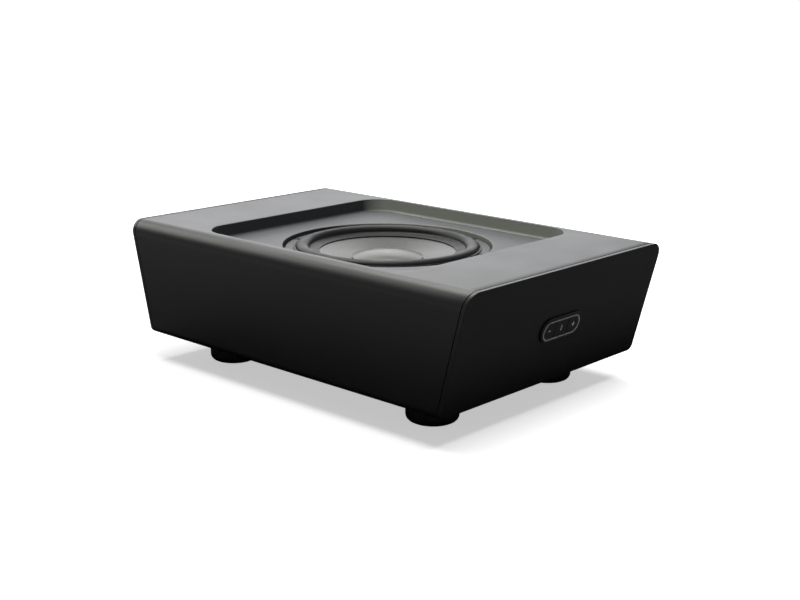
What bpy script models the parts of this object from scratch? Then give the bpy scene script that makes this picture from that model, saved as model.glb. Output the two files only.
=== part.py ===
"""Low, wide powered subwoofer with an up-firing woofer in a recessed top.

The cabinet is a rounded tube along X whose two ends lean inwards going down.
The long edge is X, the front faces -Y, and the feet stand on z = 0.
Depths named DEPTH are measured down from the top of the cabinet.
"""
import math

import bmesh
import bpy
from mathutils import Matrix, Vector

MM = 0.001
GAP = 0.3 * MM                      # clearance between pieces that touch

# ------------------------------------------------------------------ cabinet
CABINET_LENGTH = 455.0 * MM         # along X, across the top
CABINET_DEPTH = 296.0 * MM          # along Y
CABINET_HEIGHT = 115.3 * MM         # without the feet
END_SLOPE = 0.2533                  # how far an end leans in for each unit of height
TOP_EDGE_RADIUS = 14.8 * MM
BOTTOM_EDGE_RADIUS = 6.0 * MM
WALL = 12.0 * MM
FOOT_HEIGHT = 29.0 * MM
FOOT_RADIUS = 25.0 * MM
FOOT_X = 138.0 * MM
FOOT_Y = 87.0 * MM

RECESS_LENGTH = 275.2 * MM
RECESS_WIDTH = 258.8 * MM
RECESS_DEPTH = 13.7 * MM
RECESS_CORNER = 30.0 * MM
RECESS_FILLET = 3.0 * MM
BAFFLE = 13.3 * MM                  # board left under the recess

PANEL_THICKNESS = 4.0 * MM          # visible edge of an end panel
PLUG_THICKNESS = 8.0 * MM           # inner step that locates the panel in the tube
SEAM = 1.2 * MM                     # shadow gap between a panel and the tube
GASKET_THICKNESS = SEAM - 2 * GAP

# ------------------------------------------------------------------ woofer
FLANGE_RADIUS = 103.3 * MM
FLANGE_DEPTH = 16.9 * MM            # top face of the basket flange
FLANGE_THICKNESS = 2.2 * MM
REBATE_RADIUS = 105.6 * MM
REBATE_DEPTH = 20.5 * MM
OPENING_RADIUS = 94.5 * MM
ROLL_OUTER = 92.8 * MM
ROLL_INNER = 78.6 * MM
ROLL_CREST_DEPTH = 11.8 * MM
RUBBER = 0.8 * MM
CONE_RIM_RADIUS = 78.2 * MM
CONE_RIM_DEPTH = 18.8 * MM
CONE_SLOPE = 0.205                  # fall for each unit of radius, towards the centre
CONE_THICKNESS = 0.9 * MM
CAP_RADIUS = 36.0 * MM
CAP_RISE = 5.5 * MM
FORMER_RADIUS = 19.8 * MM           # outside of the voice coil tube
SCREW_CIRCLE = 98.5 * MM
SCREW_COUNT = 8
MAGNET_RADIUS = 58.0 * MM

# ------------------------------------------------------------------ controls
PILL_Y = 3.4 * MM                   # centre of the key panel
PILL_HEIGHT = 55.3 * MM             # above the underside of the cabinet
BEZEL_SIZE = (62.0 * MM, 25.3 * MM)
RING_SIZE = (55.8 * MM, 19.1 * MM)
RING_WIDTH = 1.3 * MM
BEZEL_PROUD = 2.1 * MM
KEY_PROUD = 1.5 * MM
KEY_SPLIT = 9.6 * MM                # half the length of the middle key

# ------------------------------------------------------------------ rear plate
PLATE_SIZE = (150.0 * MM, 62.0 * MM)
PLATE_CENTRE_Z = 76.0 * MM
PLATE_INSET = 2.0 * MM              # how far its face lies behind the back wall's face
PLATE_THICKNESS = 2.5 * MM
WINDOW_SIZE = (136.0 * MM, 50.0 * MM)

FINE_STEPS = 40
PLAIN_STEPS = 28
SMALL_STEPS = 10

BOTTOM = FOOT_HEIGHT
TOP = BOTTOM + CABINET_HEIGHT
SLOPE_LENGTH = math.hypot(1.0, END_SLOPE)


# ------------------------------------------------------------------ scene and materials
def clear_scene():
    """Removes whatever the scene holds."""
    for item in list(bpy.data.objects):
        bpy.data.objects.remove(item, do_unlink=True)


def new_collection(name):
    """A collection linked to the scene."""
    group = bpy.data.collections.new(name)
    bpy.context.scene.collection.children.link(group)
    return group


def new_material(name, colour, roughness, metallic=0.0):
    """A plain material: linear colour, roughness and metallic value."""
    finish = bpy.data.materials.new(name)
    finish.use_nodes = True
    shader = finish.node_tree.nodes["Principled BSDF"]
    shader.inputs["Base Color"].default_value = (*colour, 1.0)
    shader.inputs["Roughness"].default_value = roughness
    shader.inputs["Metallic"].default_value = metallic
    return finish


clear_scene()
PARTS = new_collection("subwoofer")
CUTTERS = new_collection("cutters")
FRAMES = new_collection("frames")

LACQUER = new_material("black_satin_lacquer", (0.012, 0.012, 0.013), 0.38)
BLACK_ABS = new_material("black_moulded_abs", (0.010, 0.010, 0.011), 0.35)
GREY_PRINT = new_material("grey_light_guide", (0.45, 0.45, 0.46), 0.40)
RUBBER_BLACK = new_material("black_rubber", (0.020, 0.020, 0.021), 0.60)
CONE_METAL = new_material("anodised_cone", (0.16, 0.16, 0.15), 0.40, 0.8)
CLOTH = new_material("impregnated_cloth", (0.35, 0.20, 0.07), 0.90)
STEEL_BLACK = new_material("black_zinc_steel", (0.030, 0.030, 0.030), 0.45, 0.7)
STEEL_PLATED = new_material("plated_steel", (0.45, 0.45, 0.45), 0.35, 1.0)
FERRITE = new_material("ferrite", (0.035, 0.035, 0.038), 0.70)
COPPER = new_material("copper_winding", (0.60, 0.25, 0.12), 0.35, 1.0)
FOAM = new_material("closed_cell_foam", (0.015, 0.015, 0.015), 0.95)
BOARD_GREEN = new_material("circuit_board", (0.015, 0.10, 0.04), 0.50)
ALUMINIUM = new_material("aluminium", (0.60, 0.60, 0.61), 0.40, 1.0)
BIRCH = new_material("raw_fibreboard", (0.40, 0.28, 0.17), 0.85)


# ------------------------------------------------------------------ frames of reference
def new_frame(name, matrix):
    """An empty that carries pieces drawn in its own axes."""
    empty = bpy.data.objects.new(name, None)
    FRAMES.objects.link(empty)
    empty.matrix_world = matrix
    return empty


def axes_matrix(origin, x_axis, y_axis):
    """A placement whose local X and Y point along two world directions."""
    x_axis, y_axis = Vector(x_axis).normalized(), Vector(y_axis).normalized()
    rotation = Matrix((x_axis, y_axis, x_axis.cross(y_axis))).transposed()
    return Matrix.Translation(origin) @ rotation.to_4x4()


def end_x(z, inset=0.0):
    """Where a leaning end plane stands at height z, moved in along its normal."""
    return CABINET_LENGTH / 2 - (TOP - z) * END_SLOPE - inset * SLOPE_LENGTH


PILL_Z = BOTTOM + PILL_HEIGHT
WOOFER = new_frame("woofer_centre", Matrix.Translation((0, 0, TOP)))
TUBE = new_frame("tube_axis", axes_matrix((0, 0, (TOP + BOTTOM) / 2), (0, 1, 0), (0, 0, 1)))
KEYS = new_frame("key_panel", axes_matrix((end_x(PILL_Z), PILL_Y, PILL_Z),
                                          (0, 1, 0), (END_SLOPE, 0, 1)))
REAR = new_frame("rear_plate_centre", axes_matrix((0, CABINET_DEPTH / 2, PLATE_CENTRE_Z),
                                                  (-1, 0, 0), (0, 0, 1)))


# ------------------------------------------------------------------ building tools
def place(item, frame=None, location=(0, 0, 0), cutter=False):
    """Puts an object in its collection and frame; a cutter is only a guide."""
    for group in list(item.users_collection):
        group.objects.unlink(item)
    (CUTTERS if cutter else PARTS).objects.link(item)
    item.parent = frame
    item.location = location
    if cutter:
        item.hide_render = True
        item.display_type = "WIRE"
    bpy.context.view_layer.update()
    return item


def solid(name, mesh, finish=None, frame=None, location=(0, 0, 0)):
    """An object on a mesh: a part when it has a finish, otherwise a cutter."""
    item = bpy.data.objects.new(name, mesh)
    if finish:
        mesh.materials.append(finish)
    return place(item, frame, location, cutter=finish is None)


def arc(centre, radius, start, end, steps):
    """Points along an arc, both ends included; angles in degrees."""
    angles = [math.radians(start + (end - start) * i / steps) for i in range(steps + 1)]
    return [(centre[0] + radius * math.cos(a), centre[1] + radius * math.sin(a)) for a in angles]


def rounded_rectangle(size, radius, lower_radius=None, steps=6):
    """An outline centred on the origin; the lower two corners may have their own radius."""
    half_x, half_y = size[0] / 2, size[1] / 2
    low = radius if lower_radius is None else lower_radius
    points = arc((half_x - low, low - half_y), low, -90, 0, steps)
    points += arc((half_x - radius, half_y - radius), radius, 0, 90, steps)
    points += arc((radius - half_x, half_y - radius), radius, 90, 180, steps)
    points += arc((low - half_x, low - half_y), low, 180, 270, steps)
    return points


def pill(size, shrink=0.0, steps=8):
    """A slot outline, its ends half circles, made smaller all round by shrink."""
    radius = size[1] / 2 - shrink
    centre = (size[0] - size[1]) / 2
    return arc((centre, 0), radius, -90, 90, steps) + arc((-centre, 0), radius, 90, 270, steps)


def slab(name, loops, low, high, finish=None, frame=None):
    """A flat outline, with holes where more loops are given, from z = low to high."""
    curve = bpy.data.curves.new(name, "CURVE")
    curve.dimensions = "2D"
    curve.fill_mode = "BOTH"
    curve.extrude = (high - low) / 2
    for loop in loops:
        spline = curve.splines.new("POLY")
        spline.points.add(len(loop) - 1)
        for point, (x, y) in zip(spline.points, loop):
            point.co = (x, y, 0, 1)
        spline.use_cyclic_u = True
    outline = bpy.data.objects.new(name + "_outline", curve)
    CUTTERS.objects.link(outline)
    bpy.context.view_layer.update()
    evaluated = outline.evaluated_get(bpy.context.evaluated_depsgraph_get())
    mesh = bpy.data.meshes.new_from_object(evaluated)
    bpy.data.objects.remove(outline)
    mesh.name = name
    mesh.materials.clear()
    mesh.transform(Matrix.Translation((0, 0, (low + high) / 2)))
    edit = bmesh.new()
    edit.from_mesh(mesh)
    bmesh.ops.remove_doubles(edit, verts=edit.verts, dist=1e-7)
    edit.to_mesh(mesh)
    edit.free()
    return solid(name, mesh, finish, frame)


def box(name, size, centre, finish=None, frame=None):
    """A rectangular block."""
    mesh = bpy.data.meshes.new(name)
    edit = bmesh.new()
    bmesh.ops.create_cube(edit, size=1.0, matrix=Matrix.Diagonal((*size, 1)))
    bmesh.ops.translate(edit, verts=edit.verts, vec=centre)
    edit.to_mesh(mesh)
    edit.free()
    return solid(name, mesh, finish, frame)


def rods(name, places, radius, low, high, finish=None, frame=None, steps=SMALL_STEPS):
    """Upright cylinders from z = low to high at several (x, y) places, in one mesh."""
    mesh = bpy.data.meshes.new(name)
    edit = bmesh.new()
    for x, y in places:
        bmesh.ops.create_cone(edit, cap_ends=True, segments=steps, radius1=radius, radius2=radius,
                              depth=high - low,
                              matrix=Matrix.Translation((x, y, (low + high) / 2)))
    edit.to_mesh(mesh)
    edit.free()
    return solid(name, mesh, finish, frame)


def turned(name, profile, finish=None, frame=None, steps=PLAIN_STEPS, location=(0, 0, 0)):
    """A turned piece. The (radius, height) profile runs down the outer side first."""
    mesh = bpy.data.meshes.new(name)
    count = len(profile)
    edges = [(i, i + 1) for i in range(count - 1)]
    if profile[0][0] > 0:
        edges.append((count - 1, 0))
    mesh.from_pydata([(r, 0, z) for r, z in profile], edges, [])
    item = solid(name, mesh, finish, frame, location)
    screw = item.modifiers.new("turn", "SCREW")
    screw.axis = "Z"
    screw.angle = math.tau
    screw.steps = steps
    screw.render_steps = steps
    screw.use_merge_vertices = True
    screw.merge_threshold = 1e-6
    screw.use_smooth_shade = True
    return item


def boolean(item, other, operation="DIFFERENCE"):
    """Cuts away or joins another solid, kept live."""
    change = item.modifiers.new(other.name, "BOOLEAN")
    change.operation = operation
    change.solver = "EXACT"
    change.object = other
    return item


def cut_slice(item, point, normal):
    """Removes what lies beyond a world plane and closes the cut face."""
    to_local = item.matrix_world.inverted()
    local_normal = (to_local.to_3x3() @ Vector(normal)).normalized()
    edit = bmesh.new()
    edit.from_mesh(item.data)
    bmesh.ops.bisect_plane(edit, geom=edit.verts[:] + edit.edges[:] + edit.faces[:], dist=1e-8,
                           plane_co=to_local @ Vector(point), plane_no=local_normal,
                           clear_outer=True)
    rim = [edge for edge in edit.edges if edge.is_boundary]
    bmesh.ops.triangle_fill(edit, edges=rim, use_beauty=True, normal=local_normal)
    bmesh.ops.recalc_face_normals(edit, faces=edit.faces)
    bmesh.ops.dissolve_limit(edit, angle_limit=math.radians(0.5), verts=edit.verts,
                             edges=edit.edges)
    edit.to_mesh(item.data)
    edit.free()


def between_ends(item, side, outer_inset, inner_inset):
    """Keeps the stretch of a tube-wise solid between two planes parallel to one leaning end."""
    outward = Vector((side, 0, -END_SLOPE))
    cut_slice(item, (side * end_x(TOP, outer_inset), 0, TOP), outward)
    cut_slice(item, (side * end_x(TOP, inner_inset), 0, TOP), -outward)


# ------------------------------------------------------------------ cabinet
CABINET_OUTLINE = rounded_rectangle((CABINET_DEPTH, CABINET_HEIGHT), TOP_EDGE_RADIUS,
                                    BOTTOM_EDGE_RADIUS, steps=8)
HOLLOW_SIZE = (CABINET_DEPTH - 2 * WALL, CABINET_HEIGHT - WALL - RECESS_DEPTH - BAFFLE)
HOLLOW_CENTRE = (BOTTOM + WALL + HOLLOW_SIZE[1] / 2) - (TOP + BOTTOM) / 2
HALF_STOCK = CABINET_LENGTH / 2 + 20 * MM
FEET = {"front_left": (-FOOT_X, -FOOT_Y), "front_right": (FOOT_X, -FOOT_Y),
        "rear_left": (-FOOT_X, FOOT_Y), "rear_right": (FOOT_X, FOOT_Y)}


def hollow_outline(clearance, corner=4 * MM):
    """The tube's inner outline, grown by a clearance (shrunk when negative)."""
    size = (HOLLOW_SIZE[0] + 2 * clearance, HOLLOW_SIZE[1] + 2 * clearance)
    return [(y, z + HOLLOW_CENTRE) for y, z in rounded_rectangle(size, corner, steps=3)]


def screw_places():
    """The woofer screws' places round their circle."""
    turns = [math.tau * (i + 0.5) / SCREW_COUNT for i in range(SCREW_COUNT)]
    return [(SCREW_CIRCLE * math.cos(a), SCREW_CIRCLE * math.sin(a)) for a in turns]


def recess_cutter():
    """A shallow rounded tray with a small fillet round its floor."""
    outline = rounded_rectangle((RECESS_LENGTH, RECESS_WIDTH), RECESS_CORNER, steps=6)
    cutter = slab("recess_cutter", [outline], -RECESS_DEPTH, 20 * MM, frame=WOOFER)
    edit = bmesh.new()
    edit.from_mesh(cutter.data)
    floor_rim = [edge for edge in edit.edges
                 if all(v.co.z < -RECESS_DEPTH + 1e-5 for v in edge.verts)
                 and edge.calc_face_angle(0) > 1.0]
    bmesh.ops.bevel(edit, geom=floor_rim, offset=RECESS_FILLET, segments=3, profile=0.5,
                    affect="EDGES")
    edit.to_mesh(cutter.data)
    edit.free()
    return cutter


def cabinet_sleeve():
    """The rounded tube: hollow, recess, woofer opening, rear window and screw holes."""
    sleeve = slab("cabinet_sleeve", [CABINET_OUTLINE], -HALF_STOCK, HALF_STOCK, LACQUER, TUBE)
    depth_of_end = PANEL_THICKNESS + SEAM
    for side in (1, -1):
        cut_slice(sleeve, (side * end_x(TOP, depth_of_end), 0, TOP), (side, 0, -END_SLOPE))
    boolean(sleeve, slab("hollow_cutter", [hollow_outline(0)], -HALF_STOCK, HALF_STOCK,
                         frame=TUBE))
    boolean(sleeve, recess_cutter())
    centre = [(0, 0)]
    boolean(sleeve, rods("rebate_cutter", centre, REBATE_RADIUS, -REBATE_DEPTH, 0,
                         frame=WOOFER, steps=64))
    boolean(sleeve, rods("opening_cutter", centre, OPENING_RADIUS, -40 * MM, 0,
                         frame=WOOFER, steps=64))
    boolean(sleeve, rods("woofer_pilot_cutter", screw_places(), 2.0 * MM, -26.4 * MM, -15 * MM,
                         frame=WOOFER, steps=8))
    pocket = rounded_rectangle((PLATE_SIZE[0] + 2 * GAP, PLATE_SIZE[1] + 2 * GAP), 5 * MM, steps=3)
    face = -PLATE_INSET - PLATE_THICKNESS - GAP
    boolean(sleeve, slab("rear_pocket_cutter", [pocket], face, 10 * MM, frame=REAR))
    boolean(sleeve, slab("rear_window_cutter", [rounded_rectangle(WINDOW_SIZE, 4 * MM, steps=3)],
                         -30 * MM, 0, frame=REAR))
    boolean(sleeve, rods("plate_pilot_cutter", PLATE_SCREWS, 1.7 * MM, face - 6.4 * MM, 0,
                         frame=REAR, steps=8))
    boolean(sleeve, rods("foot_pilot_cutter", FEET.values(), 2.3 * MM, BOTTOM - 5 * MM,
                         BOTTOM + 10 * MM, steps=8))
    return sleeve


def end_panel(name, side):
    """A leaning end board: a flush face plate with an inner step that fits the tube."""
    panel = slab(name, [CABINET_OUTLINE], -HALF_STOCK, HALF_STOCK, LACQUER, TUBE)
    between_ends(panel, side, 0, PANEL_THICKNESS)
    plug = slab(name + "_plug", [hollow_outline(-0.5 * MM)], -HALF_STOCK, HALF_STOCK, frame=TUBE)
    between_ends(plug, side, PANEL_THICKNESS / 2, PANEL_THICKNESS + PLUG_THICKNESS)
    return boolean(panel, plug, "UNION")


def end_gasket(name, side):
    """The foam ring in the seam, set back from the outside."""
    inset = 2.5 * MM
    size = (CABINET_DEPTH - 2 * inset, CABINET_HEIGHT - 2 * inset)
    outer = rounded_rectangle(size, TOP_EDGE_RADIUS - inset, BOTTOM_EDGE_RADIUS - inset, steps=4)
    gasket = slab(name, [outer, hollow_outline(0.5 * MM)], -HALF_STOCK, HALF_STOCK, FOAM, TUBE)
    between_ends(gasket, side, PANEL_THICKNESS + GAP, PANEL_THICKNESS + GAP + GASKET_THICKNESS)


def brace(name, side):
    """A board that stiffens the baffle against the underside."""
    low, high = BOTTOM + WALL + GAP, BOTTOM + WALL + HOLLOW_SIZE[1] - GAP
    box(name, (9 * MM, 90 * MM, high - low), (side * 112 * MM, 0, (low + high) / 2), BIRCH)


def in_mm(profile):
    """Millimetre points as metres."""
    return [(a * MM, b * MM) for a, b in profile]


def below_top(profile):
    """(radius, depth) points in millimetres as (radius, height) in metres."""
    return [(r * MM, -d * MM) for r, d in profile]


def foot(name, x, y):
    """A turned rubber puck, counterbored from below for its screw."""
    height, radius = (FOOT_HEIGHT - GAP) / MM, FOOT_RADIUS / MM
    profile = [(radius - 1.4, height), (radius, height - 1.4), (radius, 1.2), (radius - 1.2, 0),
               (5.5, 0), (5.5, 8.0), (2.5, 8.0), (2.5, height)]
    turned("foot_" + name, in_mm(profile), RUBBER_BLACK, location=(x, y, 0))
    screw = [(0, 38.4), (1.2, 38.4), (2.0, 36.5), (2.0, 7.7), (4.6, 7.7), (4.6, 5.2),
             (1.6, 4.8), (1.6, 6.2), (0, 6.2)]
    turned("foot_screw_" + name, in_mm(screw), STEEL_PLATED, steps=SMALL_STEPS,
           location=(x, y, 0))


# ------------------------------------------------------------------ woofer
def cone_depth(radius):
    """Depth of the cone's upper face at a radius."""
    return CONE_RIM_DEPTH + (CONE_RIM_RADIUS - radius) * CONE_SLOPE


def basket():
    """Stamped frame: flange, sloping wall with six windows, spider shelf and magnet seat."""
    edge, face = FLANGE_RADIUS / MM, FLANGE_DEPTH / MM
    under = (FLANGE_DEPTH + FLANGE_THICKNESS) / MM
    profile = [(edge, face), (edge, under), (93.8, under), (93.2, 23.5), (60.5, 43.2),
               (53.7, 43.2), (53.7, 51.7), (30.0, 51.7), (30.0, 50.2), (52.2, 50.2),
               (52.2, 41.6), (59.5, 41.6), (91.4, 22.3), (91.4, face)]
    frame = turned("woofer_basket", below_top(profile), STEEL_BLACK, WOOFER, FINE_STEPS)
    half_window, inner, outer = 20.0, 64 * MM, 86 * MM
    for index in range(6):
        middle = 60.0 * index
        outline = arc((0, 0), outer, middle - half_window, middle + half_window, 4)
        outline += arc((0, 0), inner, middle + half_window, middle - half_window, 4)
        boolean(frame, slab("window_cutter_%d" % index, [outline], -60 * MM, -24.5 * MM,
                            frame=WOOFER))
    boolean(frame, rods("flange_hole_cutter", screw_places(), 2.1 * MM, -25 * MM, 0,
                        frame=WOOFER, steps=SMALL_STEPS))
    boolean(frame, rods("flange_counterbore", screw_places(), 3.6 * MM,
                        -FLANGE_DEPTH - 1.3 * MM, 0, frame=WOOFER, steps=SMALL_STEPS))


def woofer_gasket():
    """The ring between the flange and the rebate, pierced for the screws."""
    edge = FLANGE_RADIUS / MM - 0.4
    profile = [(edge, 19.4), (edge, 20.2), (95.0, 20.2), (95.0, 19.4)]
    ring = turned("woofer_gasket", below_top(profile), FOAM, WOOFER)
    boolean(ring, rods("gasket_hole_cutter", screw_places(), 2.3 * MM, -25 * MM, 0,
                       frame=WOOFER, steps=8))


def surround():
    """Half-roll rubber edge between the flange and the cone's rim."""
    middle = (ROLL_OUTER + ROLL_INNER) / 2
    half_width = (ROLL_OUTER - ROLL_INNER) / 2
    outer_foot = FLANGE_DEPTH - GAP
    inner_foot = CONE_RIM_DEPTH - GAP

    def roll(inset, steps=6):
        """The half-roll arch from its outer foot to its lower inner foot."""
        points = []
        for angle in [math.pi * i / steps for i in range(steps + 1)]:
            foot_depth = outer_foot if 2 * angle < math.pi else inner_foot
            drop = (foot_depth - ROLL_CREST_DEPTH - inset) * (1 - math.sin(angle))
            points.append((middle + (half_width - inset) * math.cos(angle),
                           -ROLL_CREST_DEPTH - inset - drop))
        return points

    lip_radius = ROLL_OUTER + 2 * MM
    lip = [(lip_radius, RUBBER - outer_foot), (lip_radius, -outer_foot)]
    upper = roll(0)
    upper[0] = (ROLL_OUTER, RUBBER - outer_foot)
    profile = lip + roll(RUBBER) + upper[::-1]
    turned("surround", profile, RUBBER_BLACK, WOOFER, FINE_STEPS)


def cone():
    """Shallow metal cone from its rim to the voice coil tube."""
    rim, neck = CONE_RIM_RADIUS, FORMER_RADIUS + GAP
    top_rim, top_neck = -cone_depth(rim), -cone_depth(neck)
    profile = [(rim, top_rim), (rim, top_rim - CONE_THICKNESS),
               (neck, top_neck - CONE_THICKNESS), (neck, top_neck)]
    turned("cone", profile, CONE_METAL, WOOFER, FINE_STEPS)


def dust_cap():
    """Shallow dome over the middle of the cone, open below."""
    rim_depth = cone_depth(CAP_RADIUS) - GAP - RUBBER
    bulge = (CAP_RADIUS ** 2 + CAP_RISE ** 2) / (2 * CAP_RISE)
    reach = math.asin(CAP_RADIUS / bulge)
    angles = [reach * i / 5 for i in range(6)]

    def dome(radius):
        """Points of a spherical cap, from its top to its rim."""
        return [(radius * math.sin(a), -rim_depth + CAP_RISE - bulge + radius * math.cos(a))
                for a in angles]

    turned("dust_cap", dome(bulge) + dome(bulge - RUBBER)[::-1], CONE_METAL, WOOFER, FINE_STEPS)


def voice_coil():
    """The coil's tube and its copper winding."""
    tube = [(19.8, 29.6), (19.8, 62.0), (19.3, 62.0), (19.3, 29.6)]
    turned("voice_coil_former", below_top(tube), ALUMINIUM, WOOFER)
    winding = [(21.0, 47.0), (21.0, 61.5), (20.1, 61.5), (20.1, 47.0)]
    turned("voice_coil", below_top(winding), COPPER, WOOFER)


def spider():
    """Corrugated cloth ring that centres the coil."""
    inner, outer, first, last, waves = 20.1, 58.9, 25.0, 51.5, 3
    count = 2 * waves
    crests = [(first + (last - first) * i / count, 40.4 + (1.6 if i % 2 else 0.0))
              for i in range(count + 1)]
    upper = [(inner, 40.4)] + crests + [(52.2, 40.6), (outer, 40.6)]
    lower = [(r, d + 0.7) for r, d in upper]
    turned("spider", below_top(upper[::-1] + lower)[::-1], CLOTH, WOOFER)


def motor():
    """Ferrite magnet between the top plate and the back plate with its pole."""
    plate = [(56.0, 52.0), (56.0, 58.0), (21.9, 58.0), (21.9, 52.0)]
    turned("top_plate", below_top(plate), STEEL_BLACK, WOOFER)
    edge = MAGNET_RADIUS / MM
    ferrite = [(edge, 58.3), (edge, 74.0), (27.0, 74.0), (27.0, 58.3)]
    turned("magnet", below_top(ferrite), FERRITE, WOOFER)
    yoke = [(18.4, 50.0), (18.4, 74.3), (56.0, 74.3), (56.0, 80.0), (6.0, 80.0), (6.0, 50.0)]
    turned("back_plate", below_top(yoke), STEEL_BLACK, WOOFER)


def woofer_screws():
    """Eight pan screws with a socket, sunk in the flange."""
    profile = [(0, 17.7), (1.5, 17.7), (1.5, 17.0), (2.9, 17.0), (3.2, 17.3), (3.2, 17.9),
               (1.7, 17.9), (1.7, 24.6), (0.9, 26.0), (0, 26.0)]
    for index, (x, y) in enumerate(screw_places()):
        turned("woofer_screw_%d" % (index + 1), below_top(profile), STEEL_BLACK, WOOFER,
               SMALL_STEPS, (x, y, 0))


def terminal_strip():
    """The tag board on the basket where the amplifier's lead is soldered."""
    strip = box("terminal_strip", (24 * MM, 2 * MM, 6.5 * MM), (0, 55.0 * MM, -47.4 * MM),
                BOARD_GREEN, WOOFER)
    for index, x in enumerate((-7 * MM, 7 * MM)):
        tag = box("tag_%d" % index, (3 * MM, 7 * MM, 1 * MM), (x, 58.5 * MM, -47.4 * MM),
                  frame=WOOFER)
        boolean(strip, tag, "UNION")


# ------------------------------------------------------------------ key panel
NECK_SIZE = (BEZEL_SIZE[0] - 2.6 * MM, BEZEL_SIZE[1] - 2.6 * MM)
WELL_SIZE = (RING_SIZE[0] + 2 * GAP, RING_SIZE[1] + 2 * GAP)
KEY_INSET = RING_WIDTH + GAP
FLANGE_INSET = 0.2 * MM
MAT_SIZE = (RING_SIZE[0] - GAP, RING_SIZE[1] - GAP)


def bezel():
    """Raised oval frame with a neck that passes through the end panel."""
    flange = slab("control_bezel", [pill(BEZEL_SIZE), pill(WELL_SIZE)], GAP, BEZEL_PROUD,
                  BLACK_ABS, KEYS)
    neck = slab("bezel_neck", [pill(NECK_SIZE), pill(WELL_SIZE)], -9 * MM, 1.0 * MM, frame=KEYS)
    boolean(flange, neck, "UNION")


def light_ring():
    """Thin translucent ring round the keys."""
    slab("light_ring", [pill(RING_SIZE), pill(RING_SIZE, RING_WIDTH)], -1.5 * MM, 1.9 * MM,
         GREY_PRINT, KEYS)


def key(name, low, high):
    """One key: its share of the oval face, with a flange held behind the light ring."""
    face = slab(name, [pill(RING_SIZE, KEY_INSET)], -2.5 * MM, KEY_PROUD, BLACK_ABS, KEYS)
    flange = slab(name + "_flange", [pill(RING_SIZE, FLANGE_INSET)], -3.5 * MM, -1.8 * MM,
                  frame=KEYS)
    across = Vector((0, 1, 0))
    for piece in (face, flange):
        for limit, direction in ((low, -1), (high, 1)):
            if limit is not None:
                cut_slice(piece, KEYS.matrix_world @ Vector((limit, 0, 0)), direction * across)
    boolean(face, flange, "UNION")


def key_backing():
    """Silicone mat, switch board and the cover that holds them in the end panel."""
    slab("key_mat", [pill(MAT_SIZE)], -6.0 * MM, -4.5 * MM, RUBBER_BLACK, KEYS)
    slab("key_board", [pill(MAT_SIZE)], -7.9 * MM, -6.3 * MM, BOARD_GREEN, KEYS)
    cover = slab("key_board_cover", [rounded_rectangle((76 * MM, 36 * MM), 4 * MM, steps=3)],
                 -14.3 * MM, -12.3 * MM, BLACK_ABS, KEYS)
    boss = slab("cover_boss", [pill((50 * MM, 14 * MM))], -13.0 * MM, -8.2 * MM, frame=KEYS)
    boolean(cover, boss, "UNION")


# ------------------------------------------------------------------ rear plate and amplifier
PLATE_SCREWS = [(x * MM, z * MM) for x in (-71, 71) for z in (-27, 27)]
PLATE_FACE = -PLATE_INSET
PLATE_BACK = PLATE_FACE - PLATE_THICKNESS
INLET_X = -48 * MM
JACK_X = 40 * MM
BOARD_FACE = -18.3 * MM


def rear_plate():
    """Aluminium plate with its sockets' holes and four pillars for the board."""
    outline = rounded_rectangle((PLATE_SIZE[0], PLATE_SIZE[1]), 4.7 * MM, steps=3)
    plate = slab("rear_plate", [outline], PLATE_BACK, PLATE_FACE, ALUMINIUM, REAR)
    pillars = [(x * MM, z * MM) for x in (-62, 62) for z in (-20, 20)]
    for index, place_of_one in enumerate(pillars):
        boolean(plate, rods("pillar_%d" % index, [place_of_one], 3 * MM, BOARD_FACE + GAP,
                            PLATE_BACK + 1 * MM, frame=REAR), "UNION")
    inlet_hole = [(x + INLET_X, z) for x, z in rounded_rectangle((23.6 * MM, 13.6 * MM),
                                                                 3 * MM, steps=3)]
    boolean(plate, slab("inlet_hole_cutter", [inlet_hole], -10 * MM, 0, frame=REAR))
    boolean(plate, rods("jack_hole_cutter", [(JACK_X, 0)], 4.5 * MM, -10 * MM, 0, frame=REAR))
    boolean(plate, rods("plate_hole_cutter", PLATE_SCREWS, 2.0 * MM, -10 * MM, 0, frame=REAR))


def rear_screws():
    """Four pan screws that hold the rear plate."""
    profile = in_mm([(0, -1.2), (1.2, -1.2), (1.2, -0.5), (2.4, -0.5), (3.0, -1.0),
                     (3.0, -1.7), (1.5, -1.7), (1.5, -9.5), (0.8, -10.8), (0, -10.8)])
    for index, (x, z) in enumerate(PLATE_SCREWS):
        turned("rear_screw_%d" % (index + 1), profile, STEEL_BLACK, REAR, SMALL_STEPS, (x, z, 0))


def mains_inlet():
    """Two-pin appliance inlet with an open socket."""
    def at_inlet(outline):
        return [(x + INLET_X, z) for x, z in outline]

    flange = rounded_rectangle((28 * MM, 18 * MM), 3 * MM, steps=3)
    inlet = slab("mains_inlet", [at_inlet(flange)], PLATE_FACE + GAP, -0.3 * MM, BLACK_ABS, REAR)
    body = rounded_rectangle((23 * MM, 13 * MM), 2.7 * MM, steps=3)
    boolean(inlet, slab("inlet_body", [at_inlet(body)], -17 * MM, -1 * MM, frame=REAR), "UNION")
    socket = pill((17.6 * MM, 9.4 * MM), steps=6)
    boolean(inlet, slab("inlet_socket_cutter", [at_inlet(socket)], -14 * MM, 5 * MM, frame=REAR))
    for index, offset in enumerate((-4.6 * MM, 4.6 * MM)):
        boolean(inlet, rods("inlet_pin_%d" % index, [(INLET_X + offset, 0)], 1.1 * MM, -15 * MM,
                            -4 * MM, frame=REAR, steps=8), "UNION")


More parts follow.
